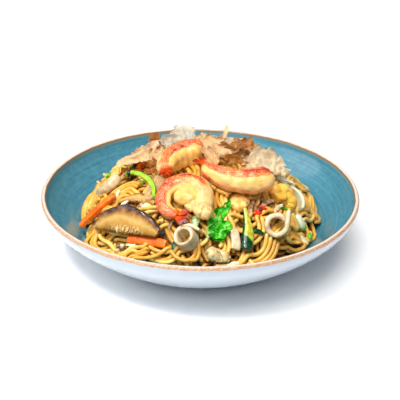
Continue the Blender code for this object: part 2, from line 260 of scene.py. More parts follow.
def outer_wall(t):
    """Points (radius, height) of the bowl's outside, from the foot at 0 to the rim at 1."""
    t = np.asarray(t, float)[..., None]
    handles = np.array([
        (FOOT_RADIUS, 0),
        (FOOT_RADIUS + 5, 0),
        (BOWL_RADIUS - 1, 0.62 * BOWL_HEIGHT),
        (BOWL_RADIUS, BOWL_HEIGHT - WALL_AT_RIM / 2),
    ])
    weights = ((1 - t) ** 3, 3 * t * (1 - t) ** 2, 3 * t**2 * (1 - t), t**3)
    return sum(w * h for w, h in zip(weights, handles))


def inner_wall(t):
    """The points of the bowl's inside that face outer_wall(t)."""
    t = np.asarray(t, float)
    step = 1e-4
    along = outer_wall(np.minimum(t + step, 1)) - outer_wall(np.maximum(t - step, 0))
    along /= np.linalg.norm(along, axis=-1, keepdims=True)
    inward = np.stack((-along[..., 1], along[..., 0]), -1)
    thickness = WALL_AT_FOOT + (WALL_AT_RIM - WALL_AT_FOOT) * t
    return outer_wall(t) + inward * thickness[..., None]


def inside_line():
    """The bowl's inside from its middle to the rim."""
    wall = inner_wall(np.linspace(0, 1, 44))
    wall = wall[wall[:, 1] > FLOOR_Z + 1.5]
    bend = np.array([(wall[0, 0] - 11, FLOOR_Z), (wall[0, 0] - 5, FLOOR_Z + 0.35)])
    floor = np.array([(r, FLOOR_Z) for r in (0, 20, 40)])
    return np.concatenate((floor, bend, wall))


INSIDE = inside_line()


def inside_height(radius):
    return np.interp(radius, INSIDE[:, 0], INSIDE[:, 1])


def bowl_profile():
    """Half of the bowl's section, and how far along it the crest of the rim is."""
    outside = outer_wall(1 - np.linspace(0, 1, 36))
    rim_middle = (INSIDE[-1] + outside[0]) / 2
    across = (INSIDE[-1] - outside[0]) / 2
    over = np.array((across[1], -across[0]))
    turns = np.radians(np.arange(15, 180, 15))
    rim = [rim_middle + across * math.cos(a) + over * math.sin(a) for a in turns]
    ring = FOOT_RADIUS - FOOT_WIDTH
    foot = [(FOOT_RADIUS - 1.2, -0.0), (ring + 1, 0), (ring, 0.5), (ring - 1, FOOT_DEPTH - 0.4)]
    foot += [(ring - 2.2, FOOT_DEPTH), (ring / 2, FOOT_DEPTH), (0, FOOT_DEPTH)]
    profile = np.concatenate((INSIDE, rim, outside, foot))
    run = np.concatenate(([0], np.cumsum(np.linalg.norm(np.diff(profile, axis=0), axis=1))))
    return profile, run[len(INSIDE) + len(rim) // 2] - run


def glaze_material():
    """Blue reactive glaze inside with brown flecks, a bare tan and cream rim, and white glaze outside that is
    painted a darker blue-grey as painted shade and reflection.
    The attribute wall is the distance from the rim's crest in mm, inside being positive."""
    g = Graph("glaze")
    place = g.where()
    wall = g.attribute("wall")
    turn = g.attribute("turn")
    ring_cloud = g.noise(g.vector(g.math("MULTIPLY", turn, 0.03), wall, 0.0), 0.34, 4, 0.62)
    streaks = g.noise(g.vector(g.math("MULTIPLY", turn, 0.012), wall, 3.0), 1.4, 3, 0.6)
    mottle = g.noise(place, 0.18, 4, 0.65)
    mixed = g.math("ADD", g.math("MULTIPLY", ring_cloud, 0.42), g.math("MULTIPLY", streaks, 0.28))
    mixed = g.math("ADD", mixed, g.math("MULTIPLY", mottle, 0.3))
    broad = g.noise(place, 0.02, 2)
    blue = g.ramp(
        mixed, (0.32, rgb(46, 104, 126)), (0.46, rgb(64, 126, 148)), (0.58, rgb(82, 144, 164)),
        (0.72, rgb(132, 180, 192)),
    )
    blue = g.mix(g.span(broad, 0.35, 0.7, 0.0, 0.35), blue, rgb(70, 138, 156))
    wobble = g.math("MULTIPLY", g.math("SUBTRACT", g.noise(place, 0.12, 3), 0.5), 1.6)
    edge = g.math("ADD", wall, wobble)
    bleed = g.ramp(
        g.span(edge, 1.6, 4.6, smooth=False),
        (0.0, rgb(142, 98, 60)), (0.4, rgb(138, 126, 96)), (0.75, rgb(104, 148, 154)),
        (1.0, rgb(70, 140, 164)),
    )
    inside = g.mix(g.span(edge, 3.4, 6.0), bleed, blue)
    flecks = g.spots(place, 0.36)
    rare = g.noise(place, 0.06, 2)
    near_rim = g.span(wall, 34, 6, 0.0, 0.10)
    fleck = g.span(g.math("ADD", rare, near_rim), 0.50, 0.62)
    fleck = g.math("MULTIPLY", g.span(flecks, 0.15, 0.08), fleck)
    inside = g.mix(g.math("MULTIPLY", fleck, 0.8), inside, rgb(96, 72, 44))
    tan = g.ramp(
        g.noise(g.vector(g.math("MULTIPLY", turn, 0.6), wall, 9.0), 1.3, 4),
        (0.3, rgb(158, 108, 70)), (0.5, rgb(190, 146, 108)), (0.72, rgb(216, 190, 164)),
    )
    cream = rgb(222, 208, 194)
    crest = g.band(g.math("ADD", wall, g.math("MULTIPLY", wobble, 0.4)), 0.3, 0.6, 0.7)
    rim = g.mix(crest, tan, cream)
    # painted shade and reflection: the white outside glaze is coloured a darker blue-grey
    outside = g.mix(g.noise(place, 0.05, 2), rgb(190, 201, 213), rgb(182, 194, 206))
    colour = g.mix(g.span(edge, 1.0, 1.8), rim, inside)
    colour = g.mix(g.span(edge, -2.6, -4.0), colour, outside)
    bare = g.band(edge, -0.8, 2.2, 1.2)
    roughness = g.math("ADD", 0.2, g.math("MULTIPLY", bare, 0.3))
    ripple = g.math("SINE", g.math("MULTIPLY", wall, 2.1))
    relief = g.math("ADD", g.math("MULTIPLY", ripple, 0.3), g.math("MULTIPLY", streaks, 0.7))
    surface = g.principled(
        colour, roughness, Specular_IOR_Level=0.55, Coat_Weight=0.25, Coat_Roughness=0.08,
        Normal=g.bump(relief, 0.12, 0.5),
    )
    return g.finish(surface)


def make_bowl():
    """A turned bowl, very slightly out of true as hand-finished stoneware is."""
    profile, wall = bowl_profile()
    segments = 192
    angles = 2 * np.pi * np.arange(segments) / segments
    radius = profile[None, 1:-1, 0]
    height = profile[None, 1:-1, 1]
    share = np.clip(height / BOWL_HEIGHT, 0, 1) ** 3
    a = angles[:, None]
    radius = radius * (1 + 0.0012 * share * np.sin(2 * a + 0.4))
    height = height + share * (0.25 * np.sin(3 * a + 1) - 0.25)
    ripple = 0.07 * np.sin(wall[None, 1:-1] * 1.05) * (wall[None, 1:-1] > 5)
    radius = radius + ripple
    points = np.stack((radius * np.cos(a), radius * np.sin(a), height + 0 * radius), -1)
    rows = points.shape[1]
    middle = [(0, 0, profile[0, 1]), (0, 0, profile[-1, 1])]
    faces = loft_faces(segments, rows, closed=False, capped=False)
    last = (segments - 1) * rows
    faces += [(last + j, last + j + 1, j + 1, j) for j in range(rows - 1)]
    inside_hub, under_hub = segments * rows, segments * rows + 1
    for i in range(segments):
        here, there = i * rows, (i + 1) % segments * rows
        faces.append((inside_hub, here, there))
        faces.append((under_hub, there + rows - 1, here + rows - 1))
    faces = [tuple(reversed(f)) for f in faces[: -2 * segments]] + faces[-2 * segments:]
    wall_all = np.concatenate((np.tile(wall[1:-1], segments), wall[[0, -1]]))
    turn = np.repeat(np.minimum(angles, 2 * np.pi - angles) * BOWL_RADIUS, rows)
    turn_all = np.concatenate((turn, [0, 0]))
    bowl = add_piece(
        "bowl_glazed", np.concatenate((points.reshape(-1, 3), middle)), faces,
        glaze_material(), {"wall": wall_all, "turn": turn_all},
    )
    return keep(bowl, "glaze", "bowl")


# ---------------------------------------------------------------- shape of the heap


def heap_reach(angle):
    return HEAP_RADIUS + 1.8 * np.sin(3 * angle + 0.5) + 1.2 * np.sin(7 * angle)


def heap_top(x, y):
    """Height of the CAD heap's top at a place in plan, in mm."""
    spread = np.minimum(np.hypot(x, y) / heap_reach(np.arctan2(y, x)), 1)
    lumps = HEAP_LUMP * np.sin(x / HEAP_LUMP_SPAN + 1) * np.cos(y / HEAP_LUMP_SPAN)
    return HEAP_EDGE_Z + HEAP_RISE * (1 - spread**3) + lumps * (1 - spread)


def heap_normal(x, y):
    span = 8
    east = heap_top(x + span, y) - heap_top(x - span, y)
    north = heap_top(x, y + span) - heap_top(x, y - span)
    return Vector((-east, -north, 2 * span)).normalized()


def core_top(x, y):
    """Top of the dark inside of the heap, painted as sauce and shade, below two or three layers of noodles."""
    spread = np.minimum(np.hypot(x, y) / HEAP_RADIUS, 1.2)
    return heap_top(x, y) - CORE_DEPTH - 6 * spread**4


# ---------------------------------------------------------------- noodles


class Bed:
    """What lies in the bowl so far: a height in mm on a square grid in plan, and where a
    topping's underside leaves no room."""

    def __init__(self, toppings):
        self.count = int(2 * BED_HALF / BED_CELL) + 1
        line = np.linspace(-BED_HALF, BED_HALF, self.count)
        self.x, self.y = np.meshgrid(line, line, indexing="ij")
        radius = np.hypot(self.x, self.y)
        wall = inside_height(radius)
        self.height = np.maximum(core_top(self.x, self.y), wall)
        soft = heap_top(self.x, self.y) - 12 * np.clip(radius / HEAP_RADIUS - 1, 0, 1)
        self.top = np.maximum(soft, wall + NOODLE_WIDTH)
        self.top[radius > BOWL_RADIUS - 8] = BOWL_HEIGHT
        self.height = np.round(self.height, 4)
        self.top = np.round(self.top, 4)
        self.slope = np.gradient(self.top, line, line)
        self.under = np.full_like(self.top, 1e3)
        self.over = np.full_like(self.top, -1e3)
        self.find_toppings(toppings)
        reach = np.arange(-2, 3) * BED_CELL
        dx, dy = np.meshgrid(reach, reach, indexing="ij")
        self.touch = [(i - 2, j - 2) for i in range(5) for j in range(5)]
        self.ball = dx.ravel(), dy.ravel()

    def find_toppings(self, toppings):
        """Rays up and down through each topping give its underside and its top."""
        depsgraph = bpy.context.evaluated_depsgraph_get()
        up = Vector((0, 0, 1))
        for thing in toppings:
            tree = BVHTree.FromObject(thing, depsgraph)
            world = np.array([thing.matrix_world @ Vector(c) for c in thing.bound_box]) / MM
            lo, hi = self.cell(*world.min(0)[:2]), self.cell(*world.max(0)[:2])
            inverse = thing.matrix_world.inverted()
            turned = inverse.to_3x3()
            for i in range(lo[0], hi[0] + 2):
                for j in range(lo[1], hi[1] + 2):
                    x, y = self.x[i, j] * MM, self.y[i, j] * MM
                    low = tree.ray_cast(inverse @ Vector((x, y, 0)), turned @ up)[0]
                    if low is None:
                        continue
                    high = tree.ray_cast(inverse @ Vector((x, y, 0.3)), turned @ -up)[0]
                    if high is None:
                        continue
                    low_z = round((thing.matrix_world @ low).z / MM, 2)
                    high_z = round((thing.matrix_world @ high).z / MM, 2)
                    self.under[i, j] = min(self.under[i, j], low_z)
                    self.over[i, j] = max(self.over[i, j], high_z)

    def cell(self, x, y):
        i = np.rint((np.asarray(x) + BED_HALF) / BED_CELL).astype(int)
        j = np.rint((np.asarray(y) + BED_HALF) / BED_CELL).astype(int)
        return np.clip(i, 2, self.count - 3), np.clip(j, 2, self.count - 3)

    def rest_height(self, x, y, radius):
        """Height of the middle of a ball of that radius that just rests on the bed."""
        i, j = self.cell(x, y)
        best = np.full(np.shape(x), -1e3)
        for di, dj in self.touch:
            off_x = self.x[i + di, j + dj] - x
            off_y = self.y[i + di, j + dj] - y
            room = radius**2 - off_x**2 - off_y**2
            lift = np.where(room > 0, np.sqrt(np.maximum(room, 0)), -1e3)
            best = np.maximum(best, self.height[i + di, j + dj] + lift)
        return best

    def stamp(self, x, y, z, radius):
        """Add a strand to the bed."""
        fine = max(2, int(STRAND_STEP / BED_CELL * 2))
        s = np.linspace(0, len(x) - 1, (len(x) - 1) * fine + 1)
        whole = np.arange(len(x))
        x, y, z = (np.interp(s, whole, v) for v in (x, y, z))
        i, j = self.cell(x, y)
        for di, dj in self.touch:
            off_x = self.x[i + di, j + dj] - x
            off_y = self.y[i + di, j + dj] - y
            room = radius**2 - off_x**2 - off_y**2
            keep_it = room > 0
            np.maximum.at(
                self.height, (i[keep_it] + di, j[keep_it] + dj),
                z[keep_it] + np.sqrt(room[keep_it]),
            )


def smooth_run(values, width):
    """Gaussian smoothing along a strand, with its ends held."""
    reach = int(3 * width) + 1
    window = np.exp(-0.5 * (np.arange(-reach, reach + 1) / width) ** 2)
    padded = np.concatenate((np.full(reach, values[0]), values, np.full(reach, values[-1])))
    total = np.zeros(len(values))
    for k, weight in enumerate(window / window.sum()):
        total += weight * padded[k:k + len(values)]
    return np.round(total, 6)


def walk(bed, x, y, heading, length, turning):
    """A path over the heap's top. turning(s) is how fast it turns, in radians per mm. Gives
    the path in plan and the sideways direction at each step."""
    along = None
    places, sides = [], []
    for step in range(int(length / STRAND_STEP)):
        i = min(max(round((x + BED_HALF) / BED_CELL), 0), bed.count - 1)
        j = min(max(round((y + BED_HALF) / BED_CELL), 0), bed.count - 1)
        east, north = float(bed.slope[0][i, j]), float(bed.slope[1][i, j])
        if along is None:
            along = Vector((math.cos(heading), math.sin(heading), 0))
            along.z = along.x * east + along.y * north
        out = Vector((-east, -north, 1)).normalized()
        along = (along - out * along.dot(out)).normalized()
        side = out.cross(along)
        places.append((x, y))
        sides.append((side.x, side.y))
        angle = turning(step * STRAND_STEP, x, y, along) * STRAND_STEP
        along = along * math.cos(angle) + side * math.sin(angle)
        x += along.x * STRAND_STEP
        y += along.y * STRAND_STEP
    return np.array(places), np.array(sides)


def wavy(draw, swing, wave, drift):
    """How a cooked noodle turns: it swings from side to side and is turned back at the edge."""
    phase = draw.uniform(0, 2 * math.pi)
    second = draw.uniform(0, 2 * math.pi)

    def turning(s, x, y, along):
        turn = swing * math.sin(2 * math.pi * s / wave + phase)
        turn += 0.3 * swing * math.sin(2 * math.pi * s / (0.37 * wave) + second) + drift
        away = math.hypot(x, y) / HEAP_RADIUS
        if away > 0.86:
            outward = (x * along.x + y * along.y) / math.hypot(x, y)
            hand = 1 if (x * along.y - y * along.x) > 0 else -1
            turn += hand * 0.16 * min(1, (away - 0.86) / 0.1) * max(0, outward + 0.25)
        return turn

    return turning


def lay_strand(bed, x, y, radius, lift, limit):
    """Rest a strand on the bed. Gives its height at each step, which steps have room below
    the toppings and below limit over the heap's top, and which are hidden by a topping."""
    need = bed.rest_height(x, y, radius)
    z = need + lift
    for _ in range(6):
        z = np.maximum(smooth_run(z, 1.8), need)
    z = smooth_run(z, 1.2)
    i, j = bed.cell(x, y)
    roof = bed.under[i, j] - radius + 0.6
    z = np.where((z > roof) & (need < roof + 0.4), roof, z)
    free = (need <= roof + 0.4) & (need + radius < bed.top[i, j] + limit)
    hidden = bed.over[i, j] > z + radius + 0.3
    return z, free, hidden


def runs_of(free, hidden, shortest):
    """Stretches with room, each a little longer where a topping hides its end."""
    runs = []
    start = None
    for k, open_here in enumerate(list(free) + [False]):
        if open_here and start is None:
            start = k
        if not open_here and start is not None:
            low, high = start, k
            while low > 0 and start - low < 2 and hidden[low - 1]:
                low -= 1
            while high < len(free) and high - k < 2 and hidden[high]:
                high += 1
            if high - low >= shortest:
                runs.append((low, high))
            start = None
    return runs


class Noodles:
    """All the strands laid so far."""

    def __init__(self, bed):
        self.bed = bed
        self.strands = []
        self.draw = random.Random("noodles")

    def bundle(
        self, places, sides, strands, lift=0.0, limit=3.0, spread=STRAND_GAP, twine=0.0, shortest=8,
    ):
        """Lay strands side by side along a path; with twine they turn round each other."""
        draw = self.draw
        laid = []
        run = np.arange(len(places)) * STRAND_STEP
        for k in range(strands):
            offset = (k - (strands - 1) / 2) * spread
            sway = 0.5 * np.sin(run / draw.uniform(7, 16) + draw.uniform(0, 6))
            across = offset + sway
            raised = lift * np.maximum(0, np.sin(run / draw.uniform(9, 18) + draw.uniform(0, 6)))
            if twine:
                turn = 2 * math.pi * (run / twine + k / strands)
                across = 0.5 * spread * np.cos(turn)
                raised = 0.5 * spread * (1 + np.sin(turn))
            first = draw.randrange(0, 5)
            last = len(run) - draw.randrange(0, 5)
            x = (places[:, 0] + sides[:, 0] * across)[first:last]
            y = (places[:, 1] + sides[:, 1] * across)[first:last]
            if len(x) < 10:
                continue
            radius = NOODLE_WIDTH / 2 * draw.uniform(0.94, 1.06)
            raised = (raised * np.ones_like(run))[first:last]
            z, free, hidden = lay_strand(self.bed, x, y, radius, raised, limit)
            shade = draw.random()
            for low, high in runs_of(free, hidden, shortest):
                laid.append((x[low:high], y[low:high], z[low:high], radius, shade))
        for x, y, z, radius, shade in laid:
            self.bed.stamp(x, y, z, radius)
        self.strands += laid

    def fill(self, fullness, tries, swings, waves, lengths, lift, slack=1.5, shortest=8,
             choices=(1, 2, 2, 3, 3, 4)):
        """Lay bundles where the heap is lowest until nothing more fits under its top, or under
        fullness above it. Strands may pass slack higher than that, and ones that toppings cut
        to fewer steps than shortest are left out."""
        bed, draw = self.bed, self.draw
        coarse = slice(None, None, 2), slice(None, None, 2)
        x, y = bed.x[coarse], bed.y[coarse]
        inside = np.hypot(x, y) < HEAP_RADIUS + 2
        limit = bed.top[coarse] + fullness
        radius = NOODLE_WIDTH / 2
        misses = 0
        for turn in range(tries):
            if turn % 4 == 0:
                rest = bed.rest_height(x, y, radius)
                lack = np.where(inside, limit - rest - radius, -2)
                lack = np.where(rest > bed.under[coarse] - radius + 0.6, -1, lack)
                flat = lack.ravel()
            picks = [draw.randrange(flat.size) for _ in range(300)]
            seed = max(picks, key=lambda p: flat[p])
            sx, sy = x.ravel()[seed], y.ravel()[seed]
            best = None
            for _ in range(6):
                length = draw.uniform(*lengths)
                strands = draw.choice(choices)
                swing = draw.uniform(*swings) * (1 if strands < 4 else 0.8)
                turning = wavy(draw, swing, draw.uniform(*waves), draw.uniform(-0.012, 0.012))
                heading = draw.uniform(0, 2 * math.pi)
                places, sides = walk(bed, sx, sy, heading, length, turning)
                i, j = bed.cell(places[:, 0], places[:, 1])
                gain = np.clip(lack[i // 2, j // 2], -0.5, 2).mean()
                if best is None or gain > best[0]:
                    best = (gain, places, sides, strands)
            if best[0] < 0.15:
                misses += 1
                if misses > 90:
                    break
                continue
            self.bundle(*best[1:], lift=lift, limit=fullness + slack, shortest=shortest)


# Loops that stand out on top: middle in plan, radius, first angle, degrees turned, strands.
LOOPS = (
    (-79.8, -18.2, 6.5, 60, 300, 3), (-61.5, 2.7, 5.5, 20, 270, 2), (-70, -4, 4.5, 90, 250, 2),
    (-28.1, -81.2, 8.5, 200, -190, 4), (-6.5, -86, 6.5, 160, -260, 2), (13.3, -44, 5.0, 200, 290, 2),
    (20.0, -63.8, 5.5, 30, 300, 2), (33, -73, 8.0, 150, -200, 3), (77.1, -33, 7.0, 100, -280, 2),
    (62, -60, 9.0, 190, -150, 3), (-80, -40, 7.0, 80, 220, 2), (-55, -78, 7, 150, -170, 3),
)
TWISTS = (
    ((-70, -60), (-50, -75), (-30, -85), 15), ((36, -60), (56, -64), (76, -52), 19),
)


def lay_loops(noodles):
    """The loops and twisted pairs that lie over the other noodles."""
    bed = noodles.bed
    for x, y, radius, first, turned, strands in LOOPS:
        hand = 1 if turned > 0 else -1
        at = math.radians(first)
        heading = at + hand * math.pi / 2
        length = abs(math.radians(turned)) * radius * 1.1
        places, sides = walk(
            bed, x + radius * math.cos(at), y + radius * math.sin(at), heading, length,
            lambda s, *_: hand / radius * (1 + 0.25 * math.sin(s / 5)),
        )
        noodles.bundle(places, sides, strands, lift=0.6, limit=7.0, spread=3.5, shortest=8)
    for start, middle, end, pitch in TWISTS:
        t = np.linspace(0, 1, 44)[:, None]
        start, middle, end = (np.array(p, float) for p in (start, middle, end))
        places = start * (1 - t) ** 2 + 2 * middle * t * (1 - t) + end * t * t
        along = np.gradient(places, axis=0)
        along /= np.linalg.norm(along, axis=1, keepdims=True)
        sides = np.stack((-along[:, 1], along[:, 0]), -1)
        noodles.bundle(places, sides, 2, limit=7.0, spread=4.2, twine=pitch, shortest=8)


def strand_mesh(strands, sides):
    """Rings round every strand, with rounded ends, as points, faces and attributes."""
    points, faces = [], []
    shades, alongs, rounds = [], [], []
    turns = 2 * np.pi * np.arange(sides) / sides
    count = 0
    for x, y, z, radius, shade in strands:
        middle = np.stack((x, y, z), -1)
        along = np.gradient(middle, axis=0)
        along /= np.linalg.norm(along, axis=1, keepdims=True)
        side = np.cross((0.0, 0.0, 1.0), along)
        side /= np.linalg.norm(side, axis=1, keepdims=True) + 1e-9
        up = np.cross(along, side)
        girth = np.full(len(x), radius)
        girth[[0, -1]] *= 0.62
        ring = (
            middle[:, None]
            + girth[:, None, None] * (
                np.cos(turns)[None, :, None] * side[:, None]
                + np.sin(turns)[None, :, None] * up[:, None]
            )
        )
        points.append(ring.reshape(-1, 3))
        faces += loft_faces(len(x), sides, count)
        count += len(x) * sides
        shades.append(np.full(len(x) * sides, shade))
        run = np.concatenate(([0], np.cumsum(np.linalg.norm(np.diff(middle, axis=0), axis=1))))
        alongs.append(np.repeat(run + shade * 900, sides))
        # depth below the heap's top, which the noodle material paints darker brown as sauce and painted shade
        depth = heap_top(x, y) - z
        rounds.append(np.repeat(depth, sides))
    data = {
        "shade": np.concatenate(shades), "along": np.concatenate(alongs),
        "depth": np.concatenate(rounds),
    }
    return np.concatenate(points), faces, data


def noodle_material():
    """Glossy fried wheat noodles: yellow and browned by sauce in patches; lower down they are painted darker brown,
    for sauce and for painted shade.
    """
    g = Graph("noodle")
    place = g.where()
    shade = g.attribute("shade")
    depth = g.attribute("depth")
    along = g.attribute("along")
    patches = g.noise(place, 0.045, 3)
    fine = g.noise(g.vector(g.math("MULTIPLY", along, 0.25), shade, 0.0), 1.0, 3)
    mixed = g.math("ADD", g.math("MULTIPLY", patches, 0.45), g.math("MULTIPLY", fine, 0.3))
    mixed = g.math("ADD", mixed, g.math("MULTIPLY", shade, 0.25))
    colour = g.ramp(
        mixed,
        (0.25, rgb(200, 132, 42)), (0.42, rgb(230, 172, 68)), (0.55, rgb(244, 196, 92)),
        (0.75, rgb(252, 219, 132)),
    )
    stain = g.span(g.noise(place, 0.11, 3), 0.5, 0.72)
    colour = g.mix(g.math("MULTIPLY", stain, 0.4), colour, rgb(190, 112, 30))
    # painted shade and sauce: the deeper a strand lies below the heap's top, the darker brown it is painted
    deep = g.span(depth, 2.5, 9.0, 0.0, 0.75)
    colour = g.mix(deep, colour, rgb(146, 78, 14))
    relief = g.noise(g.vector(g.math("MULTIPLY", along, 0.6), g.math("MULTIPLY", shade, 50)), 1.2, 2)
    surface = g.principled(
        colour, 0.32, Specular_IOR_Level=0.3, Subsurface_Weight=0.12,
        Subsurface_Radius=(1.0, 0.5, 0.2), Subsurface_Scale=0.0015, Coat_Weight=0.3,
        Coat_Roughness=0.15,
        Normal=g.bump(relief, 0.12, 0.6),
    )
    return g.finish(surface)


def core_material():
    """Sauce and shadow between the noodles."""
    g = Graph("sauce_and_shade_core")
    place = g.where()
    # painted shade and sauce: a very dark brown that shows in the gaps between the noodles
    colour = g.ramp(
        g.noise(place, 0.25, 4), (0.35, rgb(44, 22, 8)), (0.6, rgb(86, 50, 20)),
        (0.75, rgb(120, 76, 30)),
    )
    surface = g.principled(colour, 0.4, Normal=g.bump(g.noise(place, 0.5, 3), 0.5))
    return g.finish(surface)


def make_core():
    """The smaller heap under the noodles that shows only as dark gaps."""
    rings, sides = 30, 72
    angles = 2 * np.pi * np.arange(sides) / sides
    limit = HEAP_RADIUS - 6
    radii = limit * np.linspace(0, 1, rings)[1:]
    r, a = np.meshgrid(radii, angles, indexing="ij")
    x, y = r * np.cos(a), r * np.sin(a)
    floor = inside_height(r) + 0.4
    above = np.maximum(core_top(x, y) - 0.6, floor + 0.3)
    upper = np.stack((x, y, above), -1)
    lower = np.stack((x, y, floor), -1)[::-1]
    points = np.concatenate((upper, lower)).reshape(-1, 3)
    faces = loft_faces(2 * (rings - 1), sides, capped=False)
    hub = len(points)
    last = hub - sides
    for j in range(sides):
        k = (j + 1) % sides
        faces.append((hub, j, k))
        faces.append((hub + 1, last + k, last + j))
    faces = [tuple(reversed(f)) for f in faces[: -2 * sides]] + faces[-2 * sides:]
    ends = [(0, 0, core_top(0, 0) - 0.6), (0, 0, FLOOR_Z + 0.4)]
    core = add_piece("sauce_and_shade_core", np.concatenate((points, ends)), faces, core_material())
    return keep(core, "noodle", "noodle_heap")


def make_noodles(toppings):
    bed = Bed(toppings)
    noodles = Noodles(bed)
    noodles.fill(-9.0, 200, (0.08, 0.13), (26, 44), (40, 90), 0.0)
    noodles.fill(-5.0, 300, (0.09, 0.15), (24, 40), (50, 110), 0.3)
    noodles.fill(-2.0, 300, (0.10, 0.17), (24, 38), (80, 150), 0.6, 4.0, 22)
    noodles.fill(1.0, 300, (0.12, 0.20), (24, 38), (90, 170), 1.0, 7.0, 32, (3, 3, 4, 5, 6))
    lay_loops(noodles)
    strands = noodles.strands
    total = sum(len(s[0]) for s in strands)
    material = noodle_material()
    parts = 3
    share = total / parts
    groups, filled = [[]], 0
    for strand in strands:
        if filled > share * len(groups) and len(groups) < parts:
            groups.append([])
        groups[-1].append(strand)
        filled += len(strand[0])
    for number, group in enumerate(groups):
        points, faces, data = strand_mesh(group, NOODLE_SIDES)
        keep(add_piece(f"noodles_{number + 1}", points, faces, material, data), "noodle")
    return bed


# ---------------------------------------------------------------- shapes of the toppings


def on_heap(x, y, lift):
    """A point lift mm above the heap, measured straight out of its top."""
    return Vector((x, y, float(heap_top(x, y)))) + heap_normal(x, y) * lift


def stand(x, y, lift, spin=0, tip=0, roll=0):
    """The CAD's way to lay a piece: its Z points out of the heap, spin turns it in the heap's
    surface from +X, tip raises its +X end and roll turns it about its own X."""
    out = heap_normal(x, y)
    right = (Vector((1, 0, 0)) - out * out.x).normalized()
    base = Matrix((right, out.cross(right), out)).transposed().to_4x4()
    turn = Matrix.Rotation(math.radians(spin), 4, "Z")
    turn = turn @ Matrix.Rotation(math.radians(-tip), 4, "Y")
    turn = turn @ Matrix.Rotation(math.radians(roll), 4, "X")
    return Matrix.Translation(on_heap(x, y, lift)) @ base @ turn


def stand_facing(x, y, lift, direction):
    """The CAD's way to put a piece on the heap with its own Z along a direction."""
    aim = Vector(direction).normalized()
    side = Vector((0, 0, 1)).cross(aim).normalized()
    base = Matrix((side, aim.cross(side), aim)).transposed().to_4x4()
    return Matrix.Translation(on_heap(x, y, lift)) @ base


def moved(points, matrix):
    points = np.asarray(points, float).reshape(-1, 3)
    m = np.array(matrix)
    return points @ m[:3, :3].T + m[:3, 3]


def settled(points, node):
    """The points shifted so that the middle of their box is the middle of the CAD node's."""
    low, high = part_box(node)
    middle = np.array((low + high) / 2) / MM
    return points + middle - (points.min(0) + points.max(0)) / 2


def profile(stops, shares, soft=0.03):
    """Values between (share, value) stops, with the corners rounded off."""
    fine = np.interp(np.linspace(0, 1, 201), [s for s, _ in stops], [v for _, v in stops])
    return np.interp(shares, np.linspace(0, 1, 201), smooth_run(fine, 200 * soft + 0.01))


def arc(radius, first, last, count):
    """Points on a circle in the XY plane, from one angle to another in degrees."""
    turns = np.radians(np.linspace(first, last, count))
    return np.stack((radius * np.cos(turns), radius * np.sin(turns), 0 * turns), -1)


def bow(length, rise, count, sag=0):
    s = np.linspace(-1, 1, count)
    return np.stack((s * length / 2, rise * (1 - s * s), -sag * s * s), -1)


def resampled(path, count):
    run = np.concatenate(([0], np.cumsum(np.linalg.norm(np.diff(path, axis=0), axis=1))))
    even = np.linspace(0, run[-1], count)
    return np.stack([np.interp(even, run, path[:, k]) for k in range(3)], -1)


def kept_low(points):
    """Points let down far enough for the dish to stay as high as its frame says."""
    top = cad_box[1][2] / MM - 0.4
    return points - np.array([0, 0, max(points[:, 2].max() - top, 0.0)])


class Solid:
    """Points, faces and float attributes gathered for one piece."""

    def __init__(self, *names):
        self.points, self.faces = [], []
        self.data = {name: [] for name in names}
        self.count = 0

    def add(self, points, faces, **values):
        points = np.asarray(points, float).reshape(-1, 3)
        self.points.append(points)
        self.faces += [tuple(self.count + i for i in f) for f in faces]
        for name in self.data:
            value = np.asarray(values.get(name, 0.0), float)
            self.data[name].append(np.broadcast_to(value.ravel(), (len(points),))
                                   if value.size == 1 else value.ravel())
        self.count += len(points)

    def all_points(self):
        return np.concatenate(self.points)

    def piece(self, name, material, slot, node=None, matrix=None, smooth_angle=60):
        points = self.all_points()
        if matrix is not None:
            points = moved(points, matrix)
        if node:
            points = kept_low(settled(points, node))
        data = {key: np.concatenate(v) for key, v in self.data.items()}
        made = add_piece(name, points, self.faces, material, data, smooth_angle)
        return keep(made, slot, *([node] if node else []))


def section(kind, sides):
    """A unit outline: round, or a box with rounded corners."""
    turns = 2 * np.pi * (np.arange(sides) + 0.5) / sides
    c, s = np.cos(turns), np.sin(turns)
    power = {"round": 1.0, "soft": 0.62, "box": 0.42}[kind]
    return np.sign(c) * abs(c) ** power, np.sign(s) * abs(s) ** power, turns


def sweep(path, widths, heights, kind="round", sides=20, twist=0.0, up_hint=(0, 0, 1)):
    """Rings round a path: width lies in the plane of the path and height stands out of it.
    Gives the rings, the share of the path at each and the turn round each ring."""
    along = np.gradient(path, axis=0)
    along /= np.linalg.norm(along, axis=1, keepdims=True)
    across = np.cross(up_hint, along)
    across /= np.linalg.norm(across, axis=1, keepdims=True)
    up = np.cross(along, across)
    share = np.linspace(0, 1, len(path))
    turn = np.radians(twist) * share[:, None]
    across, up = (
        across * np.cos(turn) + up * np.sin(turn), up * np.cos(turn) - across * np.sin(turn)
    )
    a, b, turns = section(kind, sides)
    rings = (
        path[:, None]
        + across[:, None] * (a[None] * np.asarray(widths)[:, None] / 2)[..., None]
        + up[:, None] * (b[None] * np.asarray(heights)[:, None] / 2)[..., None]
    )
    return rings, share, turns


def closed_ends(rings, rounding=(0.55, 0.85)):
    """Adds shrunken rings at both ends so that a swept body ends softly."""

    def shrunk(ring, inner, share, reach):
        middle = ring.mean(0)
        step = (middle - inner.mean(0)) * reach
        return middle + (ring - middle) * share + step

    first = [shrunk(rings[0], rings[1], s, r) for s, r in zip(rounding, (0.5, 0.25))]
    last = [shrunk(rings[-1], rings[-2], s, r) for s, r in zip(rounding[::-1], (0.25, 0.5))]
    return np.concatenate((np.array(first), rings, np.array(last)))


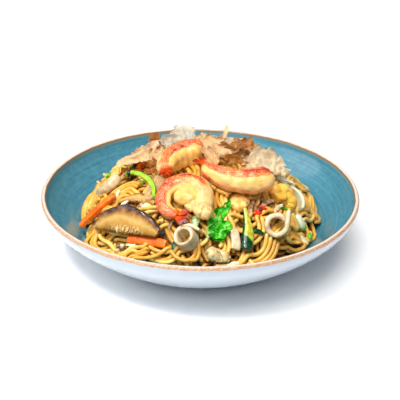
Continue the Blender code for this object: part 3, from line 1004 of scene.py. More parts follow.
def rough(points, amount, size, seed=0.0):
    """Smooth relief: each point moves by up to amount mm, over lumps of that size in mm."""
    shift = Vector((seed * 17.3, seed * 5.1, seed * 9.7))
    out = np.array(points, float)
    for k, p in enumerate(out.reshape(-1, 3)):
        v = noise.noise_vector(Vector(p) / size + shift)
        out.reshape(-1, 3)[k] += np.array(v) * amount
    return out


def blob(centre, radii, rings=16, sides=22, lumps=0.12, size=5.0, seed=0.0, power=1.0):
    """A closed rounded lump: points and faces."""
    tilt = np.linspace(0, np.pi, rings)[1:-1]
    turn = 2 * np.pi * np.arange(sides) / sides
    t, u = np.meshgrid(tilt, turn, indexing="ij")
    unit = np.stack((np.sin(t) * np.cos(u), np.sin(t) * np.sin(u), np.cos(t)), -1)
    unit = np.sign(unit) * abs(unit) ** power
    ends = np.array([(0, 0, 1.0), (0, 0, -1.0)])
    points = np.concatenate((unit.reshape(-1, 3), ends)) * np.array(radii)
    points = rough(points, lumps * min(radii), size, seed) + np.array(centre, float)
    faces = loft_faces(rings - 2, sides, capped=False)
    top, bottom = len(points) - 2, len(points) - 1
    last = (rings - 3) * sides
    for j in range(sides):
        k = (j + 1) % sides
        faces.append((top, k, j))
        faces.append((bottom, last + j, last + k))
    faces = [tuple(reversed(f)) for f in faces[: -2 * sides]] + [
        tuple(reversed(f)) for f in faces[-2 * sides:]
    ]
    return points, faces


# ---------------------------------------------------------------- prawns


def prawn_material():
    """Cooked prawn. Attributes: tone is 0 on the cream belly and 1 on the reddest back, tail is
    1 at the tips of the tail, along and around follow the body."""
    g = Graph("prawn")
    place = g.where()
    tone, tail = g.attribute("tone"), g.attribute("tail")
    along, around = g.attribute("along"), g.attribute("around")
    cloud = g.noise(place, 0.14, 3)
    streaks = g.noise(g.vector(g.math("MULTIPLY", along, 0.10), around), 1.5, 4, 0.6)
    fibres = g.noise(g.vector(g.math("MULTIPLY", along, 0.45), g.math("MULTIPLY", around, 0.9)), 1.5, 3)
    shade = g.math("ADD", tone, g.math("MULTIPLY", g.math("SUBTRACT", streaks, 0.5), 1.3))
    shade = g.math("ADD", shade, g.math("MULTIPLY", g.math("SUBTRACT", cloud, 0.5), 0.8))
    colour = g.ramp(
        shade, (0.0, rgb(242, 184, 92)), (0.16, rgb(246, 208, 136)), (0.34, rgb(244, 184, 116)),
        (0.52, rgb(240, 146, 70)), (0.70, rgb(230, 106, 38)), (0.88, rgb(212, 70, 20)),
        (1.0, rgb(176, 40, 10)),
    )
    # painted highlight: pale flecks along the fibres on the redder parts stand for glints on wet skin
    pale = g.math("MULTIPLY", g.span(fibres, 0.54, 0.66), g.span(tone, 0.1, 0.5))
    colour = g.mix(g.math("MULTIPLY", pale, 0.75), colour, rgb(255, 226, 200))
    tail_colour = g.ramp(
        g.math("ADD", tail, g.math("MULTIPLY", g.math("SUBTRACT", cloud, 0.5), 0.5)),
        (0.1, rgb(222, 104, 34)), (0.4, rgb(196, 66, 12)), (0.7, rgb(150, 38, 6)),
        (1.0, rgb(84, 20, 6)),
    )
    colour = g.mix(g.span(tail, 0.02, 0.18), colour, tail_colour)
    surface = g.principled(
        colour, 0.34, Specular_IOR_Level=0.25, Subsurface_Weight=0.2,
        Subsurface_Radius=(1.0, 0.5, 0.3), Subsurface_Scale=0.003, Coat_Weight=0.25,
        Coat_Roughness=0.12,
        Normal=g.bump(g.math("ADD", fibres, g.math("MULTIPLY", cloud, 3.0)), 0.3, 0.6),
    )
    return g.finish(surface)


def tail_blade(solid, root, along, side, up, length, width, cup):
    """One thin, slightly cupped blade of a tail fan."""
    rows, sides = 14, 8
    s = np.linspace(0, 1, rows)
    half = width / 2 * np.sin(np.pi * np.clip(0.10 + 0.82 * s, 0, 1)) ** 0.8
    path = root + np.outer(s * length, along) + np.outer(cup * np.sin(2.4 * s), up)
    a, b, _ = section("round", sides)
    thick = 0.75 * (1 - 0.6 * s)
    rise = b[None] * thick[:, None] + 0.12 * (a[None] * half[:, None]) ** 2
    rings = (
        path[:, None] + np.array(side) * (a[None] * half[:, None])[..., None]
        + np.array(up) * rise[..., None]
    )
    tail = np.repeat(0.25 + 0.7 * s**1.5, sides)
    solid.add(rings, loft_faces(rows, sides), tail=tail, tone=0.8)


def make_prawn(name, curl, tail_at, head_at, plump, fan, material, place, fold, tone_of, lobes=()):
    """A peeled prawn with its tail left on. Its rings stand out a little, a fold runs along it
    at one angle round its section, and tone_of colours it. Angles round the section are in
    degrees: 0 is the outer side of the curl, 90 the top and 180 the belly."""
    clockwise = head_at < tail_at
    body_arc = arc(curl, tail_at, head_at, 80)
    step = body_arc[0] - body_arc[1]
    back = step / np.linalg.norm(step)
    aside = np.array((-back[1], back[0], 0)) * (1 if clockwise else -1)
    tail = np.array([body_arc[0] + (back + aside * 0.25) * reach for reach in (6.5, 5, 2.5)])
    path = resampled(np.concatenate((tail, body_arc)), 92)
    fan_places = [body_arc[0] + (back + aside * 0.25) * reach for reach in (13, 9, 5)]
    middle = np.concatenate((fan_places, arc(curl, tail_at, head_at, 11))).mean(0)
    share = np.linspace(0, 1, len(path))
    widths = profile([
        (0, 0.34 * plump), (0.09, 0.58 * plump), (0.4, 0.84 * plump), (0.8, plump),
        (0.95, 0.94 * plump), (1, 0.7 * plump)], share, 0.025)
    heights = profile([
        (0, 0.30 * plump), (0.09, 0.56 * plump), (0.4, 0.80 * plump), (0.8, 0.90 * plump),
        (0.95, 0.82 * plump), (1, 0.6 * plump)], share, 0.025)
    ring_place = (share * 6.2 + 0.1) % 1
    ridge = 0.96 + 0.07 * np.where(ring_place < 0.86, ring_place / 0.86, (1 - ring_place) / 0.14)
    ridge = smooth_run(ridge, 1.6)
    rings, share, turns = sweep(path, widths * ridge, heights * ridge, sides=36)
    outer = np.cos(turns) * (1 if clockwise else -1)
    around = np.degrees(np.arctan2(np.sin(turns), outer)) % 360

    def valley(angle, width, depth):
        off = (around - angle + 180) % 360 - 180
        return depth * np.exp(-((off / width) ** 2))

    fade = np.clip(share * 4, 0, 1)[:, None]
    pull = fade * (valley(fold, 13, 0.17) + valley(180, 24, 0.14))[None]
    centre = path[:, None]
    rings = centre + (rings - centre) * (1 - pull)[..., None]
    rings = rough(rings, 0.7, 5.0, len(name))
    rings = closed_ends(rings)
    share = np.concatenate(([0, 0], share, [1, 1]))
    shape = rings.shape[:2]
    turned = np.broadcast_to(around[None], shape)
    run = share[:, None] * (math.radians(abs(head_at - tail_at)) * curl + 6)
    solid = Solid("tone", "tail", "along", "around")
    solid.add(
        rings, loft_faces(*shape), along=np.broadcast_to(run, shape), around=turned / 57.3 * plump / 2,
        tone=tone_of(share[:, None], turned), tail=np.broadcast_to(np.clip(0.22 - share * 3, 0, 1)[:, None], shape),
    )
    root = path[0]
    away = (back + aside * 0.25) / np.linalg.norm(back + aside * 0.25)
    side = np.array((-away[1], away[0], 0))
    up = np.array((0, 0, 1.0))
    for lean, length, lift in ((-34, 8.6, 0.7), (-12, 9.2, -0.4), (12, 9.2, -0.2), (34, 8.6, 0.9)):
        lean = math.radians(lean)
        direction = away * math.cos(lean) + side * math.sin(lean)
        flat = side * math.cos(lean) - away * math.sin(lean)
        tail_blade(
            solid, root + side * 1.6 * math.sin(lean) + up * lift, direction, flat, up, length,
            fan * 0.36, 1.0,
        )
    for k, (at, out, rise, radii, tone) in enumerate(lobes):
        spot = path[int(at * (len(path) - 1))]
        outward = spot / np.linalg.norm(spot)
        points, faces = blob(
            spot + outward * out + up * rise, radii, 20, 26, lumps=0.25, size=4, seed=len(name) + k,
        )
        solid.add(points, faces, along=points[:, 0], around=points[:, 1], tone=tone)
    solid.points = [p - middle for p in solid.points]
    return solid.piece(name + "_meat", material, "prawn", name, place)


def step(value, low, high):
    """0 below low, 1 above high and smooth between."""
    t = np.clip((np.asarray(value, float) - low) / (high - low), 0, 1)
    return t * t * (3 - 2 * t)


def front_tone(share, around):
    """Orange red down to the tail, paler towards the head, with a red line over the top."""
    red = step(around, 135, 105) * (0.78 - 0.42 * step(share, 0.45, 0.7))
    line = np.exp(-(((around - 62) / 12) ** 2)) * step(share, 0.5, 0.58) * step(share, 0.82, 0.74)
    return red + 0.6 * line - 0.1 * step(share, 0.75, 0.9) + 0.12 * step(around, 200, 260)


def top_tone(share, around):
    """Red streaks over the back and a cream underside towards the diner."""
    red = 0.30 + 0.42 * step(around, 40, 75)
    line = np.exp(-(((around - 108) / 7) ** 2)) * step(share, 0.25, 0.35) * step(share, 0.75, 0.6)
    return red * step(around, 125, 104) + 0.5 * line + 0.10 * step(around, 190, 225)


def right_tone(share, around):
    """A pink back band with a red line, then cream, then pink again below, with a redder painted shade low down
    towards the tail.
    """
    front = (around + 120) % 360
    band = 0.62 * step(front, 172, 190) * step(front, 260, 235)
    line = np.exp(-(((front - 214) / 8) ** 2)) * step(share, 0.55, 0.65)
    below = 0.42 * step(front, 150, 112)
    # painted shade: redder on the lower side towards the tail
    shade = 0.35 * step(share, 0.35, 0.15) * step(front, 160, 120)
    return 0.08 + band + 0.6 * line + below + shade


def make_prawns():
    material = prawn_material()
    lobes = (
        (0.80, -13.2, 2.0, (7.4, 6.4, 5.8), 0.04), (0.60, -9.5, 1.6, (5.2, 5.0, 4.4), 0.1),
        (0.93, -8.5, 2.4, (6.6, 5.4, 5.2), 0.06), (0.99, 2.4, 0.6, (6.4, 6.4, 5.2), 0.3),
        (0.99, -4.5, 0.2, (6.2, 5.6, 5.2), 0.2), (0.99, 6.2, -0.6, (5.0, 6.0, 4.8), 0.34),
    )
    front = stand(-11.5, -57, 8.4, -20)
    top = stand(-16.5, -22.5, 12.4, 22)
    right = stand(20.5, -35.5, 12, 4)
    return [
        make_prawn("prawn_front", 14.2, 248, -20, 17, 13, material, front, 128, front_tone, lobes),
        make_prawn("prawn_top", 26, 150, 66, 23, 8, material, top, 112, top_tone),
        make_prawn("prawn_right", 34, 226, 306, 21, 8, material, right, 66, right_tone),
    ]


# ---------------------------------------------------------------- squid


def squid_material():
    """Cooked squid: cream, a little translucent, tinted by sauce in places."""
    g = Graph("squid")
    place = g.where()
    cloud = g.noise(place, 0.10, 3)
    colour = g.ramp(
        cloud, (0.3, rgb(186, 152, 104)), (0.45, rgb(216, 192, 148)), (0.62, rgb(236, 218, 184)),
    )
    stain = g.span(g.noise(place, 0.22, 3), 0.55, 0.75)
    colour = g.mix(g.math("MULTIPLY", stain, 0.5), colour, rgb(190, 146, 86))
    surface = g.principled(
        colour, 0.3, Specular_IOR_Level=0.3, Subsurface_Weight=0.3, Subsurface_Radius=(1.0, 0.75, 0.5),
        Subsurface_Scale=0.003, Coat_Weight=0.4, Coat_Roughness=0.15,
        Normal=g.bump(g.noise(place, 0.5, 3), 0.2, 0.5),
    )
    return g.finish(surface)


def make_squid_roll(
    name, start, growth, turns, thick, length, set_back, flap, leaves_at, hand, material, place,
):
    count = round(46 * turns) + 1
    share = np.linspace(0, 1, count)
    angle = np.radians(leaves_at - hand * 360 * turns * (1 - share))
    radius = start + growth * turns * share
    path = np.stack((radius * np.cos(angle), radius * np.sin(angle), -set_back * share), -1)
    along = path[-1] - path[-2]
    along /= np.linalg.norm(along)
    outward = np.array((path[-1, 0], path[-1, 1], 0))
    outward /= np.linalg.norm(outward)
    reach = np.linspace(0, flap, 9)[1:, None]
    path = np.concatenate((path, path[-1] + along * reach + outward * reach * 0.12))
    path = resampled(path, len(path) + 6)
    share = np.linspace(0, 1, len(path))
    widths = profile([(0, 0.55 * thick), (0.05, thick), (0.95, thick), (1, 0.5 * thick)], share, 0.01)
    heights = profile([(0, 0.9 * length), (0.8, length), (1, 0.6 * length)], share)
    heights = heights * (1 + 0.03 * np.sin(share * 21))
    rings, share, _ = sweep(path, widths, heights, kind="soft", sides=26)
    rings = closed_ends(rough(rings, 0.4, 5, len(name)))
    solid = Solid()
    solid.add(rings, loft_faces(*rings.shape[:2]))
    return solid.piece(name + "_meat", material, "squid", name, place)


def make_squid():
    material = squid_material()
    made = [
        make_squid_roll(
            "squid_roll_front", 4.1, 3.9, 1.3, 3.2, 13, 5, 3, 70, -1, material,
            stand_facing(-8.5, -78, 8.5, (-0.41, -0.55, 0.73)),
        ),
        make_squid_roll(
            "squid_roll_right", 6.8, 0.8, 0.94, 4.4, 11, 0, 10, 8, 1, material,
            stand_facing(52, -56, 7, (-0.12, -0.86, 0.5)),
        ),
    ]
    path = arc(12, 190, 330, 40)
    share = np.linspace(0, 1, 40)
    rings, _, _ = sweep(
        path - path.mean(0), profile([(0, 2), (0.3, 7), (0.8, 9), (1, 5)], share),
        profile([(0, 2), (0.3, 8), (1, 9)], share), sides=22,
    )
    solid = Solid()
    solid.add(closed_ends(rough(rings, 0.5, 4, 3)), loft_faces(44, 22))
    made.append(solid.piece(
        "squid_curl_left_meat", material, "squid", "squid_curl_left", stand(-69, -10, 5.5, 2, 0, -15),
    ))
    rings, _, _ = sweep(
        bow(14, 1, 16), np.linspace(6, 7, 16), np.linspace(3.2, 3.6, 16), kind="box", sides=22,
    )
    solid = Solid()
    solid.add(closed_ends(rough(rings, 0.3, 4, 5)), loft_faces(20, 22))
    made.append(solid.piece(
        "squid_strip_meat", material, "squid", "squid_strip", stand(24, -74, 2.4, -84),
    ))
    return made


# ---------------------------------------------------------------- mushrooms


def mushroom_material():
    """Shiitake: across runs from -1 on the frilled gills to 1 on the brown skin of the cap."""
    g = Graph("mushroom")
    place = g.where()
    along, across = g.attribute("along"), g.attribute("across")
    cloud = g.noise(place, 0.13, 4)
    fine = g.noise(place, 0.5, 3)
    level = g.math("ADD", g.math("MULTIPLY", across, 0.5), 0.5)
    level = g.math("ADD", level, g.math("MULTIPLY", g.math("SUBTRACT", cloud, 0.5), 0.5))
    # painted shade and highlight: darkest brown at the gill edge as painted shade, lightest in the middle of the
    # golden flesh as a painted highlight, then the real brown skin of the cap towards 1
    colour = g.ramp(
        level, (0.02, rgb(120, 72, 22)), (0.16, rgb(180, 126, 50)), (0.34, rgb(206, 156, 76)),
        (0.50, rgb(224, 182, 106)), (0.66, rgb(188, 138, 72)), (0.80, rgb(136, 92, 52)),
        (0.90, rgb(82, 54, 40)), (1.0, rgb(50, 32, 28)),
    )
    fan = g.math("ADD", g.math("MULTIPLY", along, 120.0), g.math("MULTIPLY", cloud, 30))
    slots = g.math("SINE", g.math("ADD", fan, g.math("MULTIPLY", fine, 8)))
    low = g.math("MULTIPLY", g.span(level, 0.34, 0.16), g.band(along, 0.55, 0.2, 0.15))
    slots = g.math("MULTIPLY", g.span(slots, 0.0, 0.9), low)
    colour = g.mix(g.math("MULTIPLY", slots, 0.75), colour, rgb(250, 222, 158))
    surface = g.principled(
        colour, 0.3, Specular_IOR_Level=0.3, Subsurface_Weight=0.12, Subsurface_Radius=(1.0, 0.6, 0.3),
        Subsurface_Scale=0.002, Coat_Weight=0.5, Coat_Roughness=0.15,
        Normal=g.bump(g.noise(place, 0.6, 3), 0.3, 0.6),
    )
    return g.finish(surface)


def make_shiitake(name, path, widths, heights, place, material, kind, seed, frill):
    """A slice through a cap: brown skin along its outer edge, gills in a frill on the inner."""
    count = len(path)
    rings, share, turns = sweep(path, widths, heights, kind=kind, sides=40)
    outward = np.cos(turns)
    teeth = frill * np.clip(-outward - 0.55, 0, 1) * 2
    wave = 0.5 + 0.5 * np.sin(share * 95 + 2 * np.sin(share * 21))
    ends = step(share, 0.2, 0.4) * step(share, 0.9, 0.7)
    centre = path[:, None]
    rings = centre + (rings - centre) * (1 + (teeth[None] * (wave * ends)[:, None])[..., None])
    rings = closed_ends(rough(rings, 0.6, 5, seed))
    solid = Solid("along", "across")
    shape = rings.shape[:2]
    share = np.concatenate(([0, 0], share, [1, 1]))
    a, _, _ = section(kind, 40)
    solid.add(
        rings, loft_faces(*shape), along=np.broadcast_to(share[:, None], shape),
        across=np.broadcast_to(a, shape),
    )
    return solid.piece(name + "_cut", material, "mushroom", name, place)


def make_mushrooms():
    material = mushroom_material()
    share = np.linspace(0, 1, 110)
    made = [make_shiitake(
        "shiitake_slice", bow(56, 8, 110, 3),
        profile([(0, 4), (0.15, 13), (0.5, 21), (0.85, 15), (1, 7)], share),
        profile([(0, 3), (0.1, 6), (0.9, 6), (1, 4)], share),
        stand(-52, -61, 6.4, -14, 0, 14), material, "box", 4, 0.16,
    )]
    share = np.linspace(0, 1, 50)
    made.append(make_shiitake(
        "shiitake_back", bow(32, 3, 50, 1.5), profile([(0, 4), (0.5, 8), (1, 6)], share),
        profile([(0, 3), (0.5, 5), (1, 4)], share), stand(-46, -43, 2, -20), material, "round",
        6, 0.1,
    ))
    solid = Solid("along", "across")
    points, faces = blob((0, 0, 0), (7, 3.5, 3.5), lumps=0.25, size=4, seed=8)
    solid.add(points, faces, across=np.clip(points[:, 2] / 3, -1, 1), along=points[:, 0] / 14)
    points, faces = blob((3, 2.4, 1.5), (4, 1.5, 3), lumps=0.25, size=3, seed=9)
    solid.add(points, faces, across=-0.5, along=points[:, 0] / 9)
    made.append(solid.piece(
        "mushroom_right_cut", material, "mushroom", "mushroom_right", stand(43, -47, 1, 80),
    ))
    return made


# ---------------------------------------------------------------- vegetables


def carrot_material():
    g = Graph("carrot")
    place = g.where()
    grain = g.noise(g.vector(g.math("MULTIPLY", g.attribute("along"), 1.5), g.attribute("around")), 2.0, 4)
    cloud = g.noise(place, 0.15, 3)
    colour = g.ramp(
        g.math("ADD", g.math("MULTIPLY", grain, 0.6), g.math("MULTIPLY", cloud, 0.4)),
        (0.35, rgb(232, 78, 0)), (0.5, rgb(252, 112, 4)), (0.65, rgb(255, 152, 30)),
    )
    surface = g.principled(
        colour, 0.28, Specular_IOR_Level=0.3, Subsurface_Weight=0.15, Subsurface_Radius=(1.0, 0.35, 0.1),
        Subsurface_Scale=0.002, Coat_Weight=0.5, Coat_Roughness=0.12,
        Normal=g.bump(grain, 0.25, 0.6),
    )
    return g.finish(surface)


def courgette_material():
    """skin is 1 on the dark green rind and 0 on the pale yellow-green flesh."""
    g = Graph("courgette")
    place = g.where()
    skin = g.attribute("skin")
    cloud = g.noise(place, 0.2, 4)
    flesh = g.ramp(
        cloud, (0.35, rgb(170, 160, 20)), (0.5, rgb(210, 204, 60)), (0.66, rgb(240, 238, 150)),
    )
    under_skin = g.mix(cloud, rgb(70, 190, 20), rgb(150, 214, 60))
    rind = g.ramp(cloud, (0.4, rgb(6, 44, 22)), (0.6, rgb(20, 84, 44)))
    colour = g.mix(g.span(skin, 0.25, 0.55), flesh, under_skin)
    colour = g.mix(g.span(skin, 0.62, 0.78), colour, rind)
    surface = g.principled(
        colour, 0.25, Specular_IOR_Level=0.3, Subsurface_Weight=0.15, Subsurface_Radius=(0.5, 1.0, 0.2),
        Subsurface_Scale=0.002, Coat_Weight=0.5, Coat_Roughness=0.12,
        Normal=g.bump(g.noise(place, 0.6, 2), 0.2, 0.5),
    )
    return g.finish(surface)


def make_stick(name, length, width, height, rise, twist, place, material, seed):
    """A cut stick of carrot with edges that are nearly sharp."""
    count = 26
    share = np.linspace(0, 1, count)
    rings, share, turns = sweep(
        bow(length, rise, count), profile([(0, 0.85 * width), (0.5, width), (1, 0.9 * width)], share),
        profile([(0, 0.85 * height), (0.5, height), (1, 0.9 * height)], share), kind="box",
        sides=24, twist=twist,
    )
    rings = closed_ends(rough(rings, 0.25, 4, seed), (0.82, 0.95))
    solid = Solid("along", "around")
    shape = rings.shape[:2]
    along = np.linspace(0, length, shape[0])
    solid.add(
        rings, loft_faces(*shape), along=np.broadcast_to(along[:, None], shape),
        around=np.broadcast_to(turns * 4, shape),
    )
    return solid.piece(name + "_cut", material, "carrot", name, place)


def make_courgette(name, path, widths, heights, kind, place, material, skin_of, seed, twist=0):
    rings, share, turns = sweep(path, widths, heights, kind=kind, sides=26, twist=twist)
    rings = closed_ends(rough(rings, 0.3, 4, seed), (0.7, 0.92))
    share = np.concatenate(([0, 0], share, [1, 1]))
    solid = Solid("skin")
    skin = skin_of(share[:, None], turns[None])
    solid.add(rings, loft_faces(*rings.shape[:2]), skin=np.broadcast_to(skin, rings.shape[:2]))
    return solid.piece(name + "_cut", material, "courgette", name, place)


def make_vegetables():
    carrot, courgette = carrot_material(), courgette_material()
    made = [
        make_stick("carrot_left", 37, 5.6, 4.6, 1.0, 20, stand(-74, -29, 5.6, 12, -3), carrot, 1),
        make_stick("carrot_front", 30, 7, 4.2, 0.6, 0, stand(-37.5, -72, 1.4, -12), carrot, 2),
        make_stick("carrot_back", 16, 4.4, 4, 0.4, 0, stand(-43.5, 0, 3.6, 62, 4), carrot, 3),
    ]
    share = np.linspace(0, 1, 40)
    path = arc(36, 78, 12, 40)
    made.append(make_courgette(
        "courgette_strip", path - path.mean(0), profile([(0, 3), (0.5, 4.2), (1, 3)], share),
        profile([(0, 2.4), (1, 3)], share), "box", stand(-37.5, -34.5, 7.4, -14), courgette,
        lambda s, t: 0.42 + 0.5 * np.clip(np.cos(t) * 2 - 0.6, 0, 1) + 0 * s, 4,
    ))
    share = np.linspace(0, 1, 34)
    made.append(make_courgette(
        "courgette_wedge", bow(31, 2, 34), profile([(0, 3), (0.6, 9), (0.9, 9), (1, 6)], share),
        profile([(0, 3), (0.6, 6.5), (1, 5)], share), "round", stand(31.5, -66, 3.2, -88), courgette,
        lambda s, t: np.where(s > 0.72 + 0.10 * np.cos(t), 0.9, 0.0) + 0.8 * (np.cos(t) < -0.75), 5,
    ))
    solid = Solid("skin")
    points, faces = blob((0, 0, 0), (6.5, 3.2, 3), lumps=0.16, size=4, seed=10, power=0.8)
    solid.add(points, faces, skin=np.clip(0.5 - points[:, 1] / 4, 0, 1))
    made.append(solid.piece(
        "courgette_chunk_cut", courgette, "courgette", "courgette_chunk", stand(-52.5, -5, 3, 58),
    ))
    return made


# ---------------------------------------------------------------- leaf and cabbage


def leaf_material():
    """rib is 1 on the pale stalk and ribs of the greens."""
    g = Graph("leaf")
    place = g.where()
    rib = g.attribute("rib")
    cloud = g.noise(place, 0.25, 4)
    green = g.ramp(
        cloud, (0.30, rgb(8, 120, 4)), (0.42, rgb(24, 176, 12)), (0.54, rgb(84, 220, 40)),
        (0.70, rgb(190, 246, 130)),
    )
    pale = g.ramp(cloud, (0.35, rgb(150, 190, 90)), (0.65, rgb(222, 234, 170)))
    colour = g.mix(g.span(rib, 0.3, 0.8), green, pale)
    veins = g.math("SINE", g.math("MULTIPLY", g.noise(place, 0.35, 1), 40.0))
    surface = g.principled(
        colour, 0.3, Specular_IOR_Level=0.3, Subsurface_Weight=0.1, Subsurface_Radius=(0.3, 1.0, 0.1),
        Subsurface_Scale=0.0015, Coat_Weight=0.5, Coat_Roughness=0.12,
        Normal=g.bump(veins, 0.25, 0.6),
    )
    return g.finish(surface)


def cabbage_material():
    g = Graph("cabbage")
    place = g.where()
    ribs = g.noise(g.vector(g.attribute("along"), g.math("MULTIPLY", g.attribute("around"), 3.0)), 0.6, 3)
    green = g.attribute("green")
    colour = g.ramp(
        g.math("ADD", g.math("MULTIPLY", ribs, 0.6), g.math("MULTIPLY", g.noise(place, 0.15, 3), 0.4)),
        (0.3, rgb(206, 208, 160)), (0.5, rgb(232, 234, 204)), (0.7, rgb(250, 250, 238)),
    )
    colour = g.mix(g.span(green, 0.2, 1.0), colour, rgb(120, 196, 40))
    surface = g.principled(
        colour, 0.25, Specular_IOR_Level=0.3, Subsurface_Weight=0.3, Subsurface_Radius=(0.8, 1.0, 0.6),
        Subsurface_Scale=0.003, Coat_Weight=0.4, Coat_Roughness=0.12, Alpha=0.9,
        Normal=g.bump(ribs, 0.25, 0.6),
    )
    return g.finish(surface)


def ruffled_sheet(length, width, ruffle, waves, curl, seed, rows=30, columns=16, thick=0.5):
    """A crinkled leaf blade as a thin closed sheet, in its own XY plane: points, faces and the
    share of the way from its midrib to its edge."""
    s, w = np.meshgrid(np.linspace(0, 1, rows), np.linspace(-1, 1, columns), indexing="ij")
    outline = np.sin(np.pi * np.clip(0.06 + 0.9 * s, 0, 1)) ** 0.6
    x = (s - 0.5) * length
    y = w * width / 2 * outline
    edge = abs(w) ** 1.5
    z = ruffle * edge * np.sin(2 * np.pi * waves * s + 2.2 * np.sign(w) + seed)
    z += 0.4 * ruffle * np.sin(9 * s + 5 * w + seed * 2) + curl * (w * w - 0.4)
    z += curl * 1.4 * (s - 0.5) ** 2 * 4
    y += 0.25 * ruffle * np.sin(2 * np.pi * waves * 1.7 * s + seed) * np.sign(w) * edge
    flat = rough(np.stack((x, y, z), -1), 0.5, 3.0, seed)
    tangent_s = np.gradient(flat, axis=0)
    tangent_w = np.gradient(flat, axis=1)
    normal = np.cross(tangent_s, tangent_w)
    normal /= np.linalg.norm(normal, axis=-1, keepdims=True) + 1e-9
    half = thick / 2 * (1 - 0.6 * edge)[..., None]
    both = np.concatenate(((flat + normal * half).reshape(-1, 3), (flat - normal * half).reshape(-1, 3)))
    return both, sheet_faces(rows, columns), np.tile(abs(w).ravel(), 2)


def sheet_faces(rows, columns):
    """Faces of a closed sheet: a top grid, a bottom grid and the strip round their edges."""
    under = rows * columns
    faces = []
    for i in range(rows - 1):
        for j in range(columns - 1):
            a = i * columns + j
            quad = (a, a + columns, a + columns + 1, a + 1)
            faces.append(quad)
            faces.append(tuple(under + q for q in reversed(quad)))
    rim = [j for j in range(columns)]
    rim += [i * columns + columns - 1 for i in range(1, rows)]
    rim += [(rows - 1) * columns + j for j in range(columns - 2, -1, -1)]
    rim += [i * columns for i in range(rows - 2, 0, -1)]
    for a, b in zip(rim, rim[1:] + rim[:1]):
        faces.append((a, b, under + b, under + a))
    return faces


def make_greens():
    """Blanched leaf: a crumpled bunch, one blade that reaches up and a pale stalk."""
    material = leaf_material()
    solid = Solid("rib")
    place = stand(12.5, -68, 3.6, 86)
    blades = (
        (-7, 0, 1.6, 16, 12, 2.0, 3.0, 1.5, 20, -10), (-9, 3, 2.6, 12, 10, 2.2, 3.5, 2.0, 80, 20),
        (-5, -4, 2.2, 13, 10, 2.0, 3.0, 1.0, -50, 15), (-1, 2, 0.8, 15, 9, 1.6, 2.5, 1.5, 10, 0),
        (-10, -2, 1.0, 12, 9, 2.0, 3.0, 2.0, 140, -15), (2, 4, 1.6, 14, 7, 1.4, 2.5, 2.2, -20, 5),
        (9, -3.5, 2.4, 17, 6, 1.2, 2.0, 1.8, -24, 14),
    )
    for k, (x, y, z, length, width, ruffle, waves, curl, spin, tip) in enumerate(blades):
        points, faces, edge = ruffled_sheet(length, width, ruffle, waves, curl, 1.7 * k)
        turn = Matrix.Translation((x, y, z)) @ Matrix.Rotation(math.radians(spin), 4, "Z")
        turn = turn @ Matrix.Rotation(math.radians(-tip), 4, "Y")
        solid.add(moved(points, turn), faces, rib=np.clip(1 - edge * 7, 0, 1) * 0.8)
    points, faces = blob((-8, 6.2, 1.4), (6.5, 2.0, 2.4), lumps=0.2, size=4, seed=4)
    solid.add(points, faces, rib=0.9)
    made = [solid.piece("spinach_leaf_blades", material, "leaf", "spinach_leaf", place)]
    share = np.linspace(0, 1, 24)
    rings, _, _ = sweep(
        bow(17, 2.6, 24), profile([(0, 3), (0.4, 6.6), (1, 3.4)], share),
        profile([(0, 2), (0.5, 4), (1, 2.4)], share), sides=18,
    )
    solid = Solid("rib")
    solid.add(closed_ends(rough(rings, 0.3, 4, 2)), loft_faces(28, 18), rib=0.85)
    made.append(solid.piece(
        "spinach_stalk_cut", material, "leaf", "spinach_stalk", stand(-0.5, -67.5, 2.4, 66),
    ))
    return made


def make_cabbage():
    material = cabbage_material()
    made = []
    share = np.linspace(0, 1, 30)
    path = arc(12, 150, 40, 30)
    rings, share, turns = sweep(
        path - path.mean(0), profile([(0, 2.4), (0.5, 3), (1, 2.4)], share),
        profile([(0, 7), (0.5, 9), (1, 7)], share), kind="box", sides=22,
    )
    rings = closed_ends(rough(rings, 0.3, 4, 12))
    solid = Solid("along", "around", "green")
    around = np.broadcast_to(turns, rings.shape[:2])
    solid.add(rings, loft_faces(*rings.shape[:2]), around=around)
    made.append(solid.piece(
        "onion_layer_cut", material, "cabbage", "onion_layer", stand(73, -15, 3, -62, 0, 24),
    ))
    solid = Solid("along", "around", "green")
    points, faces = blob((0, 0, 0), (7, 4, 3), lumps=0.2, size=5, seed=14, power=0.9)
    solid.add(points, faces, around=points[:, 1], along=points[:, 0], green=np.clip(points[:, 0] / 6, 0, 1))
    made.append(solid.piece(
        "cabbage_core_cut", material, "cabbage", "cabbage_core", stand(75, -34, 1.6, -40),
    ))
    shreds = ((53, -6, 30, 24), (58, -12, 4, 14), (62, 2, 52, 6))
    for number, (x, y, spin, tip) in enumerate(shreds):
        share = np.linspace(0, 1, 26)
        rings, share, turns = sweep(
            bow(23, 2, 26), profile([(0, 5), (0.6, 3.6), (1, 1.2)], share),
            profile([(0, 2.2), (1, 0.8)], share), kind="box", sides=16, twist=25,
        )
        rings = closed_ends(rough(rings, 0.5, 4, number))
        solid = Solid("along", "around", "green")
        tip_share = np.linspace(0, 1, rings.shape[0])[:, None] * np.ones(rings.shape[1])
        solid.add(
            rings, loft_faces(*rings.shape[:2]), around=np.broadcast_to(turns, rings.shape[:2]),
            along=tip_share * 23, green=np.clip(tip_share - 0.75, 0, 1) * 2 * (number != 1),
        )
        name = f"cabbage_shred_{number + 1}"
        made.append(solid.piece(name + "_cut", material, "cabbage", name, stand(x, y, 5, spin, tip)))
    return made


# ---------------------------------------------------------------- other seafood and egg


